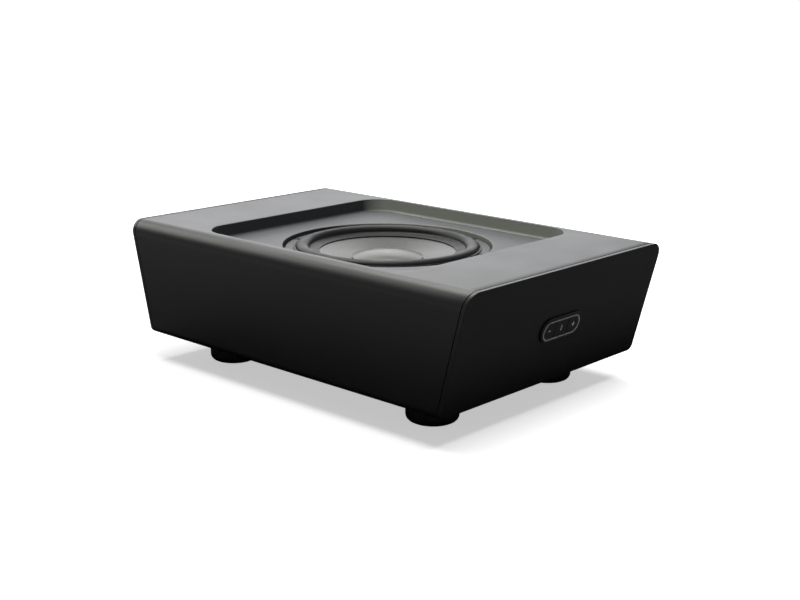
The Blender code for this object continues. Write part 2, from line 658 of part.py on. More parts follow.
def line_in_socket():
    """Flush jack socket with its ring nut."""
    profile = in_mm([(5.6, -0.4), (6.0, -0.8), (6.0, -1.7), (4.0, -1.7), (4.0, -15.0),
                     (0, -15.0), (0, -13.0), (1.8, -13.0), (1.8, -0.4)])
    start = profile.index((0, -15.0 * MM))
    turned("line_in_socket", profile[start + 1:] + profile[:start + 1], BLACK_ABS, REAR,
           SMALL_STEPS, (JACK_X, 0, 0))


def amplifier():
    """Amplifier board with its heat sink, transformer and two capacitors."""
    board_back = BOARD_FACE - 1.6 * MM
    slab("amplifier_board", [rounded_rectangle((130 * MM, 46 * MM), 1.5 * MM, steps=2)],
         board_back, BOARD_FACE, BOARD_GREEN, REAR)
    comb = [(-20, 4), (-20, 0)]
    for index in range(7):
        left = -20 + 6.3 * index
        comb += [(left, 0), (left, -9), (left + 2.2, -9), (left + 2.2, 0)]
    comb = in_mm(comb[2:] + [(20, 4), (-20, 4)])
    sink = slab("heat_sink", [comb], -18 * MM, 18 * MM, ALUMINIUM)
    sink.matrix_world = REAR.matrix_world @ axes_matrix((0, 0, PLATE_BACK - GAP - 4 * MM),
                                                        (1, 0, 0), (0, 0, 1))
    core = box("transformer", (36 * MM, 30 * MM, 14 * MM), (36 * MM, 0, board_back - 13.3 * MM),
               STEEL_PLATED, REAR)
    boolean(core, box("transformer_coil", (24 * MM, 34 * MM, 26 * MM),
                      (36 * MM, 0, board_back - 13.3 * MM), frame=REAR), "UNION")
    for index, x in enumerate((-20, -42)):
        rods("capacitor_%d" % (index + 1), [(x * MM, 0)], 9 * MM, board_back - 26 * MM,
             board_back - GAP, BLACK_ABS, REAR, steps=20)


def build():
    """Makes every piece."""
    cabinet_sleeve()
    for side, name in ((-1, "left"), (1, "right")):
        panel = end_panel("end_panel_" + name, side)
        if side > 0:
            hole = (NECK_SIZE[0] + 2 * GAP, NECK_SIZE[1] + 2 * GAP)
            boolean(panel, slab("key_hole_cutter", [pill(hole)], -20 * MM, 10 * MM, frame=KEYS))
        end_gasket("end_gasket_" + name, side)
        brace("brace_" + name, side)
    for name, (x, y) in FEET.items():
        foot(name, x, y)
    basket()
    woofer_gasket()
    surround()
    spider()
    cone()
    dust_cap()
    voice_coil()
    motor()
    woofer_screws()
    terminal_strip()
    bezel()
    light_ring()
    key("minus_key", None, -KEY_SPLIT)
    key("power_key", GAP - KEY_SPLIT, KEY_SPLIT - GAP)
    key("plus_key", KEY_SPLIT, None)
    key_backing()
    rear_plate()
    rear_screws()
    mains_inlet()
    line_in_socket()
    amplifier()


build()
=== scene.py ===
# %% [markdown]
# # A low powered subwoofer in satin black
# The CAD model already holds every part at its place and size. This notebook keeps that frame and
# lays fine surfaces and real finishes over it, one part after another: cabinet, woofer, key panel,
# feet and rear plate. Each surface is a numpy formula, so a reader can change one number and see
# what it does. Nothing is moved: every new piece stands exactly where its CAD part stands.

# %% Load the fixed frame
import math

import bpy
import numpy as np
from mathutils import Matrix, Vector


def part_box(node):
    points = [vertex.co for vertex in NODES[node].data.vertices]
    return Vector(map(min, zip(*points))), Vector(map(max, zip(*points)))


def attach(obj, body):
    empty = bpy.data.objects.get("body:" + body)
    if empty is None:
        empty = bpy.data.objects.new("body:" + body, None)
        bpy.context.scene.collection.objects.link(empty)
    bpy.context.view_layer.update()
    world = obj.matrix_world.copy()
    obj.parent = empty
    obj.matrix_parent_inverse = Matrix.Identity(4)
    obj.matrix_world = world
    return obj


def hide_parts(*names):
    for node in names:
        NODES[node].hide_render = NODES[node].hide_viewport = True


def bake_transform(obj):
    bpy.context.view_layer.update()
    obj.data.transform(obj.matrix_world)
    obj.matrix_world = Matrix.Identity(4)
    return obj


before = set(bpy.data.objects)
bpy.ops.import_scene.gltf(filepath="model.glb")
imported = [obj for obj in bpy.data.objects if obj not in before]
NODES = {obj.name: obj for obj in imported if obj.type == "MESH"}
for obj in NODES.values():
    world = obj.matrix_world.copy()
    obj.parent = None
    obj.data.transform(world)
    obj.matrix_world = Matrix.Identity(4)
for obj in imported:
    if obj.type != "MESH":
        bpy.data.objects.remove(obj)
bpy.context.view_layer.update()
MM = 0.001

# %% [markdown]
# ## Where things are
# The driving places are read from the CAD boxes, so this script follows the model when it changes.
# Heights on the woofer are given as depths below the cabinet's top, as its maker would state them.
# An end leans inwards going down. Its lean follows from the boards' top and bottom corners and is
# given below as a fixed number.

# %% Places read from the frame
SLEEVE_LOW, SLEEVE_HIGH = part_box("cabinet_sleeve")
BOTTOM, TOP, HALF_DEPTH = SLEEVE_LOW.z, SLEEVE_HIGH.z, SLEEVE_HIGH.y
HALF_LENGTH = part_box("end_panel_right")[1].x
LEAN = 0.2533                       # how far an end leans in for each unit of height
SLOPE = math.hypot(1.0, LEAN)       # length along the leaning end for each unit of height
print("top %.1f mm, underside %.1f mm, half length %.1f mm, half depth %.1f mm"
      % (TOP / MM, BOTTOM / MM, HALF_LENGTH / MM, HALF_DEPTH / MM))


def end_x(z, inset=0.0):
    """x of the right end plane at height z: it leans in by LEAN, and moves in along its normal."""
    return HALF_LENGTH - (TOP - z) * LEAN - inset * SLOPE


def middle(node):
    """Centre of a CAD part's box."""
    return tuple((low + high) / 2 for low, high in zip(*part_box(node)))


# %% [markdown]
# ## The camera
# The object is seen from its front right corner, a little from above, with a long lens, so that its
# straight edges converge only slightly. The camera comes first, because every later choice of
# detail depends on what it shows.

# %% Camera
CAMERA_PLACE = Vector((0.8731, -0.9400, 0.4035))
CAMERA_YAW, CAMERA_PITCH, CAMERA_ROLL = math.radians(42.31), math.radians(14.49), math.radians(0.5)

lens = bpy.data.cameras.new("studio_camera")
lens.lens = 58.5
lens.sensor_width = 36.0
camera = bpy.data.objects.new("studio_camera", lens)
bpy.context.scene.collection.objects.link(camera)
camera.matrix_world = (Matrix.Translation(CAMERA_PLACE)
                       @ Matrix.Rotation(CAMERA_YAW, 4, "Z")
                       @ Matrix.Rotation(math.pi / 2 - CAMERA_PITCH, 4, "X")
                       @ Matrix.Rotation(CAMERA_ROLL, 4, "Z"))
bpy.context.scene.camera = camera
print("camera stands %.2f m from the woofer" % (CAMERA_PLACE - Vector((0, 0, TOP))).length)

# %% [markdown]
# ## Small tools for materials
# A finish is a node tree. Colours are written as sRGB hex values, as a paint chart gives them, and
# one function turns them to the linear values that the shader needs. One more function adds a node
# with its settings and links. Patterns read Object coordinates, and because every piece sits at the
# origin in metres, a pattern's scale is simply one over its real size. Most moulded, coated and
# plated parts need only two noises of real size, so one function makes all of those finishes.

# %% Material helpers


def linear(code):
    """sRGB hex to linear RGBA: each channel c becomes ((c + 0.055) / 1.055) to the power 2.4."""
    channels = [int(code[i:i + 2], 16) / 255 for i in (1, 3, 5)]
    return (*[((c + 0.055) / 1.055) ** 2.4 if c > 0.04045 else c / 12.92 for c in channels], 1.0)


def add(tree, kind, sockets=None, **settings):
    """Adds a node with its settings; each socket is given a value or another node's output."""
    made = tree.nodes.new(kind)
    for key, value in settings.items():
        setattr(made, key, value)
    for key, value in (sockets or {}).items():
        if isinstance(value, bpy.types.NodeSocket):
            tree.links.new(value, made.inputs[key])
        else:
            made.inputs[key].default_value = value
    return made


def start_finish(name, **sockets):
    """A new material: returns it with its tree, its shader and its Object coordinates."""
    made = bpy.data.materials.new(name)
    made.use_nodes = True
    tree = made.node_tree
    shader = tree.nodes["Principled BSDF"]
    for key, value in sockets.items():
        shader.inputs[key.replace("_", " ")].default_value = value
    return made, tree, shader, add(tree, "ShaderNodeTexCoord").outputs["Object"]


def speckle(tree, coords, size, detail=2.0, roughness=0.5):
    """Noise whose grains are about size metres across; returns its 0 to 1 output."""
    return add(tree, "ShaderNodeTexNoise", {"Vector": coords, "Scale": 1 / size, "Detail": detail,
                                            "Roughness": roughness}).outputs["Fac"]


def tint(tree, factor, first, second):
    """A colour that goes from the first hex colour to the second as the factor rises."""
    scale = add(tree, "ShaderNodeValToRGB", {"Fac": factor})
    scale.color_ramp.elements[0].color = linear(first)
    scale.color_ramp.elements[1].color = linear(second)
    return scale.outputs["Color"]


def blend_colour(tree, factor, first, second):
    """Goes from the first colour to the second as the factor rises; 6 and 7 are its colours."""
    return add(tree, "ShaderNodeMix", {0: factor, 6: first, 7: second},
               data_type="RGBA").outputs[2]


def ramp(tree, value, start, end, low, high):
    """Maps a value from the range start to end onto the range low to high, and clamps it."""
    return add(tree, "ShaderNodeMapRange", {"Value": value, "From Min": start, "From Max": end,
                                            "To Min": low, "To Max": high}).outputs["Result"]


def calculate(tree, operation, first, second=0.0):
    """One arithmetic step between two sockets or numbers."""
    return add(tree, "ShaderNodeMath", {0: first, 1: second}, operation=operation).outputs[0]


def spread(tree, value, low, high):
    """Stretches a noise's usual range, 0.3 to 0.7, to run from low to high."""
    return ramp(tree, value, 0.3, 0.7, low, high)


def roughen(tree, shader, height, depth):
    """Bump of the given depth in metres, driven by a 0 to 1 height."""
    bump = add(tree, "ShaderNodeBump", {"Height": height, "Distance": depth, "Strength": 1.0})
    tree.links.new(bump.outputs["Normal"], shader.inputs["Normal"])


def mottled(name, colours, rough, cloud, grain=None, depth=0.0, rough_grain=False, **sockets):
    """Two close colours mixed by a cloud. The cloud also sets roughness and bump, unless a grain
    is given: it takes the bump, and the roughness where rough_grain says so. Both are noises of
    (size in mm, detail), and depth is in mm."""
    made, tree, shader, coords = start_finish(name, **sockets)
    broad = speckle(tree, coords, cloud[0] * MM, detail=cloud[1])
    fine = speckle(tree, coords, grain[0] * MM, detail=grain[1]) if grain else broad
    tree.links.new(tint(tree, broad, *colours), shader.inputs["Base Color"])
    tree.links.new(spread(tree, fine if rough_grain else broad, *rough),
                   shader.inputs["Roughness"])
    if depth:
        roughen(tree, shader, fine, depth * MM)
    return made


# %% [markdown]
# ## The floor and the light
# The object stands on a white sheet. To the camera the sheet also shows a painted glow that lights
# nothing: dimmer near the cabinet and full white further out, so that its shadows show but stay
# pale. Satin black shows the room more than its own colour, so the studio is part of the finish. A
# soft box overhead, a little to the left and behind, draws the highlight along the rounded front
# edge. A pale wall behind makes the flat top look silver at this low angle, and a second box on the
# left lifts the far end of the highlight. In reflections the sheet is replaced by a painted
# reflection, dark near the cabinet and brighter further out, so the front and the end stay deep
# black and are painted darker towards the floor. Each of the four-number settings says from where
# to where, in metres, the sheet brightens, and from how bright to how bright.

# %% Floor and room
FLOOR_SIZE = 30.0
FOOTPRINT = (0.20, 0.148)           # half sizes that the distances beside and in front start from
# Ramps of the painted reflection, in front of and beside the cabinet.
FRONT_PAINTED_REFLECTION, SIDE_PAINTED_REFLECTION = (0.12, 0.50, 0.0, 0.50), (0.02, 0.08, 0.0, 0.13)
# Ramp of the painted glow that the camera sees on the sheet.
PAINTED_GLOW_RAMP = (0.42, 1.02, 0.52, 1.05)
floor_finish, tree, shader, coords = start_finish("opal_sheet_with_painted_glow", Roughness=0.9,
                                                  Base_Color=linear("#F4F4F4"),
                                                  Specular_IOR_Level=0.1)
place = add(tree, "ShaderNodeSeparateXYZ", {0: coords})
beside = calculate(tree, "SUBTRACT", calculate(tree, "ABSOLUTE", place.outputs["X"]), FOOTPRINT[0])
in_front = calculate(tree, "SUBTRACT", calculate(tree, "MULTIPLY", place.outputs["Y"], -1.0),
                     FOOTPRINT[1])
# Painted reflection: rays that bounce off the object see a glow here instead of the sheet, painted
# dark near the cabinet and brighter further out.
painted_reflection_strength = calculate(tree, "MAXIMUM", ramp(tree, in_front, *FRONT_PAINTED_REFLECTION),
                  ramp(tree, beside, *SIDE_PAINTED_REFLECTION))
painted_reflected_sheet = add(tree, "ShaderNodeEmission", {"Strength": painted_reflection_strength})
# Painted glow seen by the camera only: it lights nothing, is dimmer near the cabinet and full white
# further out, and keeps the shadows pale.
distance = add(tree, "ShaderNodeVectorMath", {0: coords}, operation="LENGTH").outputs["Value"]
painted_glow = add(tree, "ShaderNodeEmission", {"Strength": ramp(tree, distance, *PAINTED_GLOW_RAMP)})
sheet_with_painted_glow = add(tree, "ShaderNodeAddShader", {0: shader.outputs["BSDF"], 1: painted_glow.outputs[0]})
rays = add(tree, "ShaderNodeLightPath")
seen = add(tree, "ShaderNodeMixShader", {0: rays.outputs["Is Camera Ray"],
                                         1: shader.outputs["BSDF"], 2: sheet_with_painted_glow.outputs[0]})
sheet = add(tree, "ShaderNodeMixShader", {0: rays.outputs["Is Glossy Ray"],
                                          1: seen.outputs[0], 2: painted_reflected_sheet.outputs[0]})
tree.links.new(sheet.outputs[0], tree.nodes["Material Output"].inputs["Surface"])

floor_mesh = bpy.data.meshes.new("white_sheet")
half = FLOOR_SIZE / 2
floor_mesh.from_pydata([(-half, -half, 0), (half, -half, 0), (half, half, 0), (-half, half, 0)],
                       [], [(0, 1, 2, 3)])
floor_mesh.materials.append(floor_finish)
floor = bpy.data.objects.new("white_sheet", floor_mesh)
bpy.context.scene.collection.objects.link(floor)

ROOM_SEEN, ROOM_LIGHT, ROOM_SHEEN = 1.05, 0.10, 0.25
world = bpy.data.worlds.new("white_studio")
bpy.context.scene.world = world
world.use_nodes = True
tree = world.node_tree
rays = add(tree, "ShaderNodeLightPath")
unseen = ramp(tree, rays.outputs["Is Glossy Ray"], 0.0, 1.0, ROOM_LIGHT, ROOM_SHEEN)
strength = ramp(tree, rays.outputs["Is Camera Ray"], 0.0, 1.0, unseen, ROOM_SEEN)
background = tree.nodes["Background"]
background.inputs["Color"].default_value = (1.0, 1.0, 1.0, 1.0)
tree.links.new(strength, background.inputs["Strength"])
bpy.context.scene.view_settings.view_transform = "Standard"

# %% [markdown]
# The boxes that draw highlights do nothing to matt surfaces, and the ceiling that lights matt
# surfaces and the sheet isn't seen in highlights. A studio does the same with polarising film and
# flags, and it lets each be set on its own.

# %% Soft boxes


def soft_box(name, place, aim, size, brightness, colour, for_sheen):
    """A soft light facing a point; brightness is its radiance, where lit white paper is 1."""
    light = bpy.data.lights.new(name, "AREA")
    light.shape = "RECTANGLE"
    light.size, light.size_y = size
    light.energy = brightness * math.pi * size[0] * size[1]
    light.color = colour
    box = bpy.data.objects.new(name, light)
    bpy.context.scene.collection.objects.link(box)
    facing = (Vector(aim) - Vector(place)).to_track_quat("-Z", "Y")
    box.matrix_world = Matrix.Translation(place) @ facing.to_matrix().to_4x4()
    box.visible_camera = False
    box.visible_diffuse, box.visible_glossy = not for_sheen, for_sheen


WARM, COOL, WHITE = (1.0, 1.0, 0.95), (0.97, 0.98, 1.0), (1.0, 1.0, 1.0)
soft_box("ceiling", (0.0, 0.25, 2.20), (0, 0.25, 0), (2.4, 2.4), 4.2, WHITE, False)
soft_box("overhead_box", (-0.60, 0.30, 1.30), (-0.1, 0, 0.1), (0.9, 0.9), 5.0, WARM, True)
soft_box("left_box", (-1.45, -0.35, 1.15), (-0.1, 0, 0.1), (1.0, 0.9), 3.2, WARM, True)
soft_box("pale_wall", (-1.95, 1.75, 1.00), (0, 0, 0.12), (2.5, 1.25), 2.0, COOL, True)

# %% [markdown]
# ## Surfaces from loops
# Almost everything here is a stack of closed loops: slices of the cabinet, circles of a turned
# part, ovals of the key panel. One function skins such a stack. It closes each end with a pole, or
# joins the last loop to the first for a ring-like part. Afterwards the signed volume tells whether
# the faces look outwards, and the winding is turned round if they don't.

# %% Skinning helpers
SHARP = 38                          # degrees: faces that meet at more than this keep a crisp edge


def mesh_of(name, points, blocks, finish, sharp=SHARP):
    """A mesh object from arrays; faces are turned outwards by the sign of the enclosed volume."""
    corners = np.concatenate([block[:, [0, i, i + 1]] for block in blocks
                              for i in range(1, block.shape[1] - 1)])
    a, b, c = (points[corners[:, i]] for i in range(3))
    volume = np.einsum("ij,ij->i", a, np.cross(b, c)).sum() / 6
    loops = [row for block in blocks for row in (block if volume > 0 else block[:, ::-1]).tolist()]
    mesh = bpy.data.meshes.new(name)
    mesh.from_pydata(points.tolist(), [], loops)
    mesh.validate()
    mesh.materials.append(finish)
    mesh.shade_smooth()
    mesh.set_sharp_from_angle(angle=math.radians(sharp))
    piece = bpy.data.objects.new(name, mesh)
    bpy.context.scene.collection.objects.link(piece)
    return piece


def skin(name, loops, finish, ring=False, sharp=SHARP):
    """Quads between neighbouring loops, an array (K, N, 3); ends closed by poles unless a ring."""
    loops = np.asarray(loops, float)
    count, around = loops.shape[:2]
    points = loops.reshape(-1, 3)
    rows = np.arange(count if ring else count - 1)[:, None]
    here = np.arange(around)[None, :]
    there = (here + 1) % around
    above = (rows + 1) % count
    quads = np.stack([rows * around + here, rows * around + there,
                      above * around + there, above * around + here], axis=-1).reshape(-1, 4)
    blocks = [quads]
    if not ring:
        start, end = len(points), len(points) + 1
        points = np.vstack([points, loops[0].mean(axis=0), loops[-1].mean(axis=0)])
        first, last = here[0], (count - 1) * around + here[0]
        blocks.append(np.stack([np.full(around, start), np.roll(first, -1), first], axis=-1))
        blocks.append(np.stack([np.full(around, end), last, np.roll(last, -1)], axis=-1))
    return mesh_of(name, points, blocks, finish, sharp)


# %% [markdown]
# Loops come in three kinds. A rounded rectangle has quarter arcs and evenly divided sides. An oval,
# as a maker of slots would say, has two half circles and two straight sides. A turned part uses
# circles. A small round on an edge is a formula too: at a distance t from the face, a round of
# radius r stands in by r minus the square root of r squared minus (r minus t) squared.

# %% Loop formulas
ARC_STEPS, SIDE_STEPS, CIRCLE_STEPS, OVAL_STEPS = 12, 36, 192, 24


def rounded_rectangle(half_x, half_y, radii):
    """Closed (N, 2) loop, counter-clockwise from the right side's top; one radius or four."""
    radii = np.broadcast_to(radii, 4)
    quarter = np.linspace(0, math.pi / 2, ARC_STEPS + 1)
    corners = []
    for turn, (sx, sy) in enumerate(((1, 1), (-1, 1), (-1, -1), (1, -1))):
        angle = quarter + turn * math.pi / 2
        centre = np.array([sx * (half_x - radii[turn]), sy * (half_y - radii[turn])])
        corners.append(centre + radii[turn] * np.stack([np.cos(angle), np.sin(angle)], axis=1))
    share = np.linspace(0, 1, SIDE_STEPS + 1)[1:-1, None]
    stretches = []
    for corner, following in zip(corners, corners[1:] + corners[:1]):
        stretches += [corner, corner[-1] * (1 - share) + following[0] * share]
    return np.vstack(stretches)


def oval(half_x, half_y):
    """Closed (N, 2) loop of a slot: half circles of radius half_y, joined by straight sides."""
    angle = np.linspace(-math.pi / 2, math.pi / 2, OVAL_STEPS + 1)
    right = np.stack([half_x - half_y + half_y * np.cos(angle), half_y * np.sin(angle)], axis=1)
    return np.vstack([right, -right])


def toward(loop, half_x, half_y):
    """Points of a slot's outline in the same directions from its centre as the loop's points."""
    way = loop / np.linalg.norm(loop, axis=1, keepdims=True)
    across, up = np.abs(way[:, 0]), np.abs(way[:, 1])
    straight = half_x - half_y
    to_side = half_y / np.maximum(up, 1e-9)
    to_round = across * straight + np.sqrt(np.maximum(half_y ** 2 - (up * straight) ** 2, 0))
    return way * np.where(to_side * across <= straight, to_side, to_round)[:, None]


def nick(t, radius):
    """How far a rounded edge stands in at distance t from the face it rounds off."""
    t = np.clip(t, 0, radius)
    return radius - np.sqrt(radius ** 2 - (radius - t) ** 2)


def quarter(steps):
    """(1 - cos t, 1 - sin t) along a quarter turn, for rounds and fillets of radius 1."""
    return [(1 - math.cos(t), 1 - math.sin(t)) for t in np.linspace(0, math.pi / 2, steps)]


def at_height(loop, z):
    """A flat loop lifted to height z."""
    return np.column_stack([loop, np.full(len(loop), z)])


def turned(name, profile, finish, place=(0, 0, 0), steps=CIRCLE_STEPS, sharp=SHARP, hollow=False):
    """Turns a (radius, height) profile about Z; closed by poles, or a ring when hollow."""
    profile = np.asarray(profile, float)
    angle = np.linspace(0, math.tau, steps, endpoint=False)
    radius, height = profile[:, 0, None], profile[:, 1, None]
    loops = np.stack([radius * np.cos(angle), radius * np.sin(angle),
                      height + 0 * angle], axis=-1) + np.asarray(place, float)
    return skin(name, loops, finish, ring=hollow, sharp=sharp)


def rounded_corner(corner, before, after, radius, steps=5):
    """Points of an arc that rounds the corner between two profile points."""
    corner, before, after = (np.asarray(p, float) for p in (corner, before, after))
    first = (before - corner) / np.linalg.norm(before - corner)
    last = (after - corner) / np.linalg.norm(after - corner)
    half_angle = math.acos(float(np.clip(first @ last, -1, 1))) / 2
    reach = radius / math.tan(half_angle)
    centre = corner + (first + last) / np.linalg.norm(first + last) * radius / math.sin(half_angle)
    begin, finish = corner + first * reach - centre, corner + last * reach - centre
    sweep = math.pi - 2 * half_angle
    share = np.linspace(0, 1, steps + 1)[:, None]
    arc = (np.sin((1 - share) * sweep) * begin + np.sin(share * sweep) * finish) / math.sin(sweep)
    return centre + arc


def profile_of(corners, closed=False):
    """A profile from (a, b, radius) corners in millimetres, each rounded by its own radius."""
    places = [np.array(c[:2], float) * MM for c in corners]
    radii = [(c[2] if len(c) > 2 else 0.0) * MM for c in corners]
    count = len(corners)
    points = []
    for i, (corner, radius) in enumerate(zip(places, radii)):
        if radius == 0 or (not closed and i in (0, count - 1)):
            points.append(corner[None])
        else:
            points.append(rounded_corner(corner, places[i - 1], places[(i + 1) % count], radius))
    return np.vstack(points)


def carve(piece, *cutters):
    """Cuts closed cutters out of a piece, applies the cuts and removes the cutters."""
    for cutter in cutters:
        change = piece.modifiers.new(cutter.name, "BOOLEAN")
        change.object = cutter
        change.solver = "EXACT"
    graph = bpy.context.evaluated_depsgraph_get()
    mesh = bpy.data.meshes.new_from_object(piece.evaluated_get(graph))
    piece.modifiers.clear()
    piece.data = mesh
    mesh.shade_smooth()
    mesh.set_sharp_from_angle(angle=math.radians(SHARP))
    for cutter in cutters:
        bpy.data.objects.remove(cutter)


def stand_for(piece, body, slot, *nodes):
    """Makes a piece ride on a body and stand for CAD nodes; the slot is not used."""
    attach(piece, body)
    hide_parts(*nodes)
    print("%-24s %6d faces, stands for %s"
          % (piece.name, len(piece.data.polygons), ", ".join(nodes)))


# %% [markdown]
# ## Satin black lacquer
# The cabinet is fibreboard sprayed with a two-part satin lacquer. Its colour is almost nothing, so
# the eye reads its sheen: a blurred mirror at low angles with the faint orange peel that a spray
# gun leaves, waves about 3 mm across and about a hundredth of a millimetre deep, and fine matting
# grains. The tray is primed only, so inside it the surface is matt. Its colour is painted light and
# shade by facing: the floor is painted grey, the walls darker, and the wall that faces the front
# paler and a little olive. IOR 1.5 is usual for lacquer.

# %% Lacquer finish
RECESS_DEPTH = 13.7 * MM
RECESS_HALF = (137.6 * MM, 129.4 * MM)


def inside_tray(tree, coords):
    """1 on the tray's floor and walls, 0 elsewhere: three limits on the place."""
    place = add(tree, "ShaderNodeSeparateXYZ", {0: coords})
    within = calculate(tree, "LESS_THAN", place.outputs["Z"], TOP - 0.7 * MM)
    above = calculate(tree, "GREATER_THAN", place.outputs["Z"], TOP - 25 * MM)
    within = calculate(tree, "MULTIPLY", within, above)
    for axis, limit in zip("XY", RECESS_HALF):
        size = calculate(tree, "ABSOLUTE", place.outputs[axis])
        near = calculate(tree, "LESS_THAN", size, limit + 1 * MM)
        within = calculate(tree, "MULTIPLY", within, near)
    return within


def satin_lacquer():
    made, tree, shader, coords = start_finish("sprayed_satin_lacquer", IOR=1.5)
    peel = speckle(tree, coords, 3.0 * MM, detail=1.0)
    matting = speckle(tree, coords, 0.7 * MM, detail=2.0)
    cloud = speckle(tree, coords, 60 * MM, detail=3.0)
    roughen(tree, shader, calculate(tree, "ADD", peel, matting), 0.012 * MM)

    primed = inside_tray(tree, coords)
    rough = ramp(tree, primed, 0.0, 1.0, spread(tree, cloud, 0.36, 0.40), 0.55)
    tree.links.new(rough, shader.inputs["Roughness"])
    # Painted light and shade: the tray's colour follows which way each face points; the floor
    # facing up is painted lighter than the walls, and the wall facing the front is painted palest.
    normal = add(tree, "ShaderNodeNewGeometry").outputs["Normal"]
    facing = add(tree, "ShaderNodeSeparateXYZ", {0: normal})
    painted_floor_light_mask = ramp(tree, facing.outputs["Z"], 0.3, 0.95, 0.0, 1.0)
    painted_wall_light_mask = ramp(tree, facing.outputs["Y"], -0.2, -0.9, 0.0, 1.0)
    painted_lit_floor_colour = tint(tree, peel, "#525355", "#58595B")
    painted_lit_wall_colour = tint(tree, peel, "#A0A398", "#A6A99E")
    primer_with_painted_light = blend_colour(tree, painted_wall_light_mask, blend_colour(tree, painted_floor_light_mask, linear("#26272A"), painted_lit_floor_colour), painted_lit_wall_colour)
    lacquer = tint(tree, cloud, "#0B0B0C", "#0D0D0E")
    tree.links.new(blend_colour(tree, primed, lacquer, primer_with_painted_light), shader.inputs["Base Color"])
    return made


LACQUER = satin_lacquer()
print("lacquer has", len(LACQUER.node_tree.nodes), "nodes")

# %% [markdown]
# ## The cabinet sleeve
# The real sleeve is a board box with rounded long edges and a tray routed into its top. Think of it
# as a stack of horizontal loops: from the woofer's hole outwards over the tray's floor, up its
# wall, over the lip, out across the top, and then down the outside as level slices to the
# underside. Every slice is a rectangle whose half length follows the leaning ends and whose half
# depth follows the rounded edges. The hollow inside, the rear pocket and the window are then cut.

# %% Sleeve loops
TOP_ROUND, BOTTOM_ROUND, END_NICK = 14.8 * MM, 6.0 * MM, 0.3 * MM
BOARD, SEAM = 4.0 * MM, 0.7 * MM
RECESS_CORNER, RECESS_FILLET, LIP_ROUND = 30.0 * MM, 3.0 * MM, 1.0 * MM
REBATE_RADIUS, REBATE_DEPTH, REBATE_EDGE = 105.6 * MM, 20.5 * MM, 0.6 * MM
HOLE_RADIUS, HOLE_DEPTH, HOLE_EDGE = 94.5 * MM, 36.0 * MM, 0.4 * MM
FLAT_STRIP = 2.0 * MM               # narrow strip beside a round, which keeps its shading local


def slice_loop(z):
    """Level slice of the sleeve at height z."""
    from_top, from_bottom = TOP - z, z - BOTTOM
    half_x = end_x(z, BOARD + SEAM) - nick(from_top, END_NICK) - nick(from_bottom, END_NICK)
    half_y = HALF_DEPTH - nick(from_top, TOP_ROUND) - nick(from_bottom, BOTTOM_ROUND)
    return at_height(rounded_rectangle(half_x, half_y, END_NICK), z)


def recess_loop(grow, depth):
    """The tray's outline grown outwards by grow, at a depth below the top."""
    outline = rounded_rectangle(RECESS_HALF[0] + grow, RECESS_HALF[1] + grow, RECESS_CORNER + grow)
    return at_height(outline, TOP - depth)


def circle_loop(radius, depth):
    """A circle whose points lie in the directions of the tray's outline."""
    loop = recess_loop(0, 0)[:, :2]
    return at_height(radius * loop / np.linalg.norm(loop, axis=1, keepdims=True), TOP - depth)


def sleeve_loops():
    """All loops of the sleeve, from the woofer's hole to the underside."""
    loops = [circle_loop(20 * MM, HOLE_DEPTH), circle_loop(HOLE_RADIUS, HOLE_DEPTH),
             circle_loop(HOLE_RADIUS, REBATE_DEPTH + HOLE_EDGE),
             circle_loop(HOLE_RADIUS + HOLE_EDGE, REBATE_DEPTH),
             circle_loop(REBATE_RADIUS, REBATE_DEPTH)]
    loops += [circle_loop(REBATE_RADIUS + REBATE_EDGE * out, RECESS_DEPTH + REBATE_EDGE * down)
              for out, down in quarter(5)]
    loops += [circle_loop(REBATE_RADIUS + 3 * MM, RECESS_DEPTH),
              recess_loop(-RECESS_FILLET - 3 * MM, RECESS_DEPTH)]
    loops += [recess_loop(-RECESS_FILLET * inward, RECESS_DEPTH - RECESS_FILLET * up)
              for up, inward in quarter(9)]
    loops += [recess_loop(LIP_ROUND * out, LIP_ROUND * down) for out, down in quarter(7)]
    last, outside = loops[-1], slice_loop(TOP)
    loops += [last * (1 - share) + outside * share for share in (0.10, 0.90)]
    loops += [slice_loop(TOP - TOP_ROUND * fall) for fall, _ in quarter(17)]
    loops += [slice_loop(TOP - TOP_ROUND - FLAT_STRIP),
              slice_loop(BOTTOM + BOTTOM_ROUND + FLAT_STRIP)]
    loops += [slice_loop(BOTTOM + BOTTOM_ROUND * rise) for rise, _ in quarter(9)[::-1]]
    underside = slice_loop(BOTTOM)
    inward = underside.mean(axis=0) - underside
    loops += [underside + inward * 0.03, underside + inward * 0.9]
    return np.array(loops)


sleeve = skin("cabinet_sleeve_skin", sleeve_loops(), LACQUER)

# %% [markdown]
# The cutters are prisms: one rounded rectangle carried along a straight path. The rear pocket sinks
# the metal plate, and the window behind it lets the amplifier through.

# %% Cut the hollow, the rear pocket and the window
PLATE_LOW, PLATE_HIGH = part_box("rear_plate")
PLATE_Z = middle("rear_plate")[2]
WALL, BAFFLE = 12.0 * MM, 13.3 * MM
PAST_ENDS = 0.3                     # a cutter's reach beyond the middle, further than any end


def prism(name, half_x, half_y, corner, place, finish, along, reach):
    """A rounded rectangle carried along X or Y from reach[0] to reach[1]."""
    outline = rounded_rectangle(half_x, half_y, corner)
    loops = []
    for distance in reach:
        loop = at_height(outline, distance)
        loops.append(loop[:, [2, 0, 1]] if along == "X" else loop[:, [0, 2, 1]])
    return skin(name, np.array(loops) + np.asarray(place), finish)


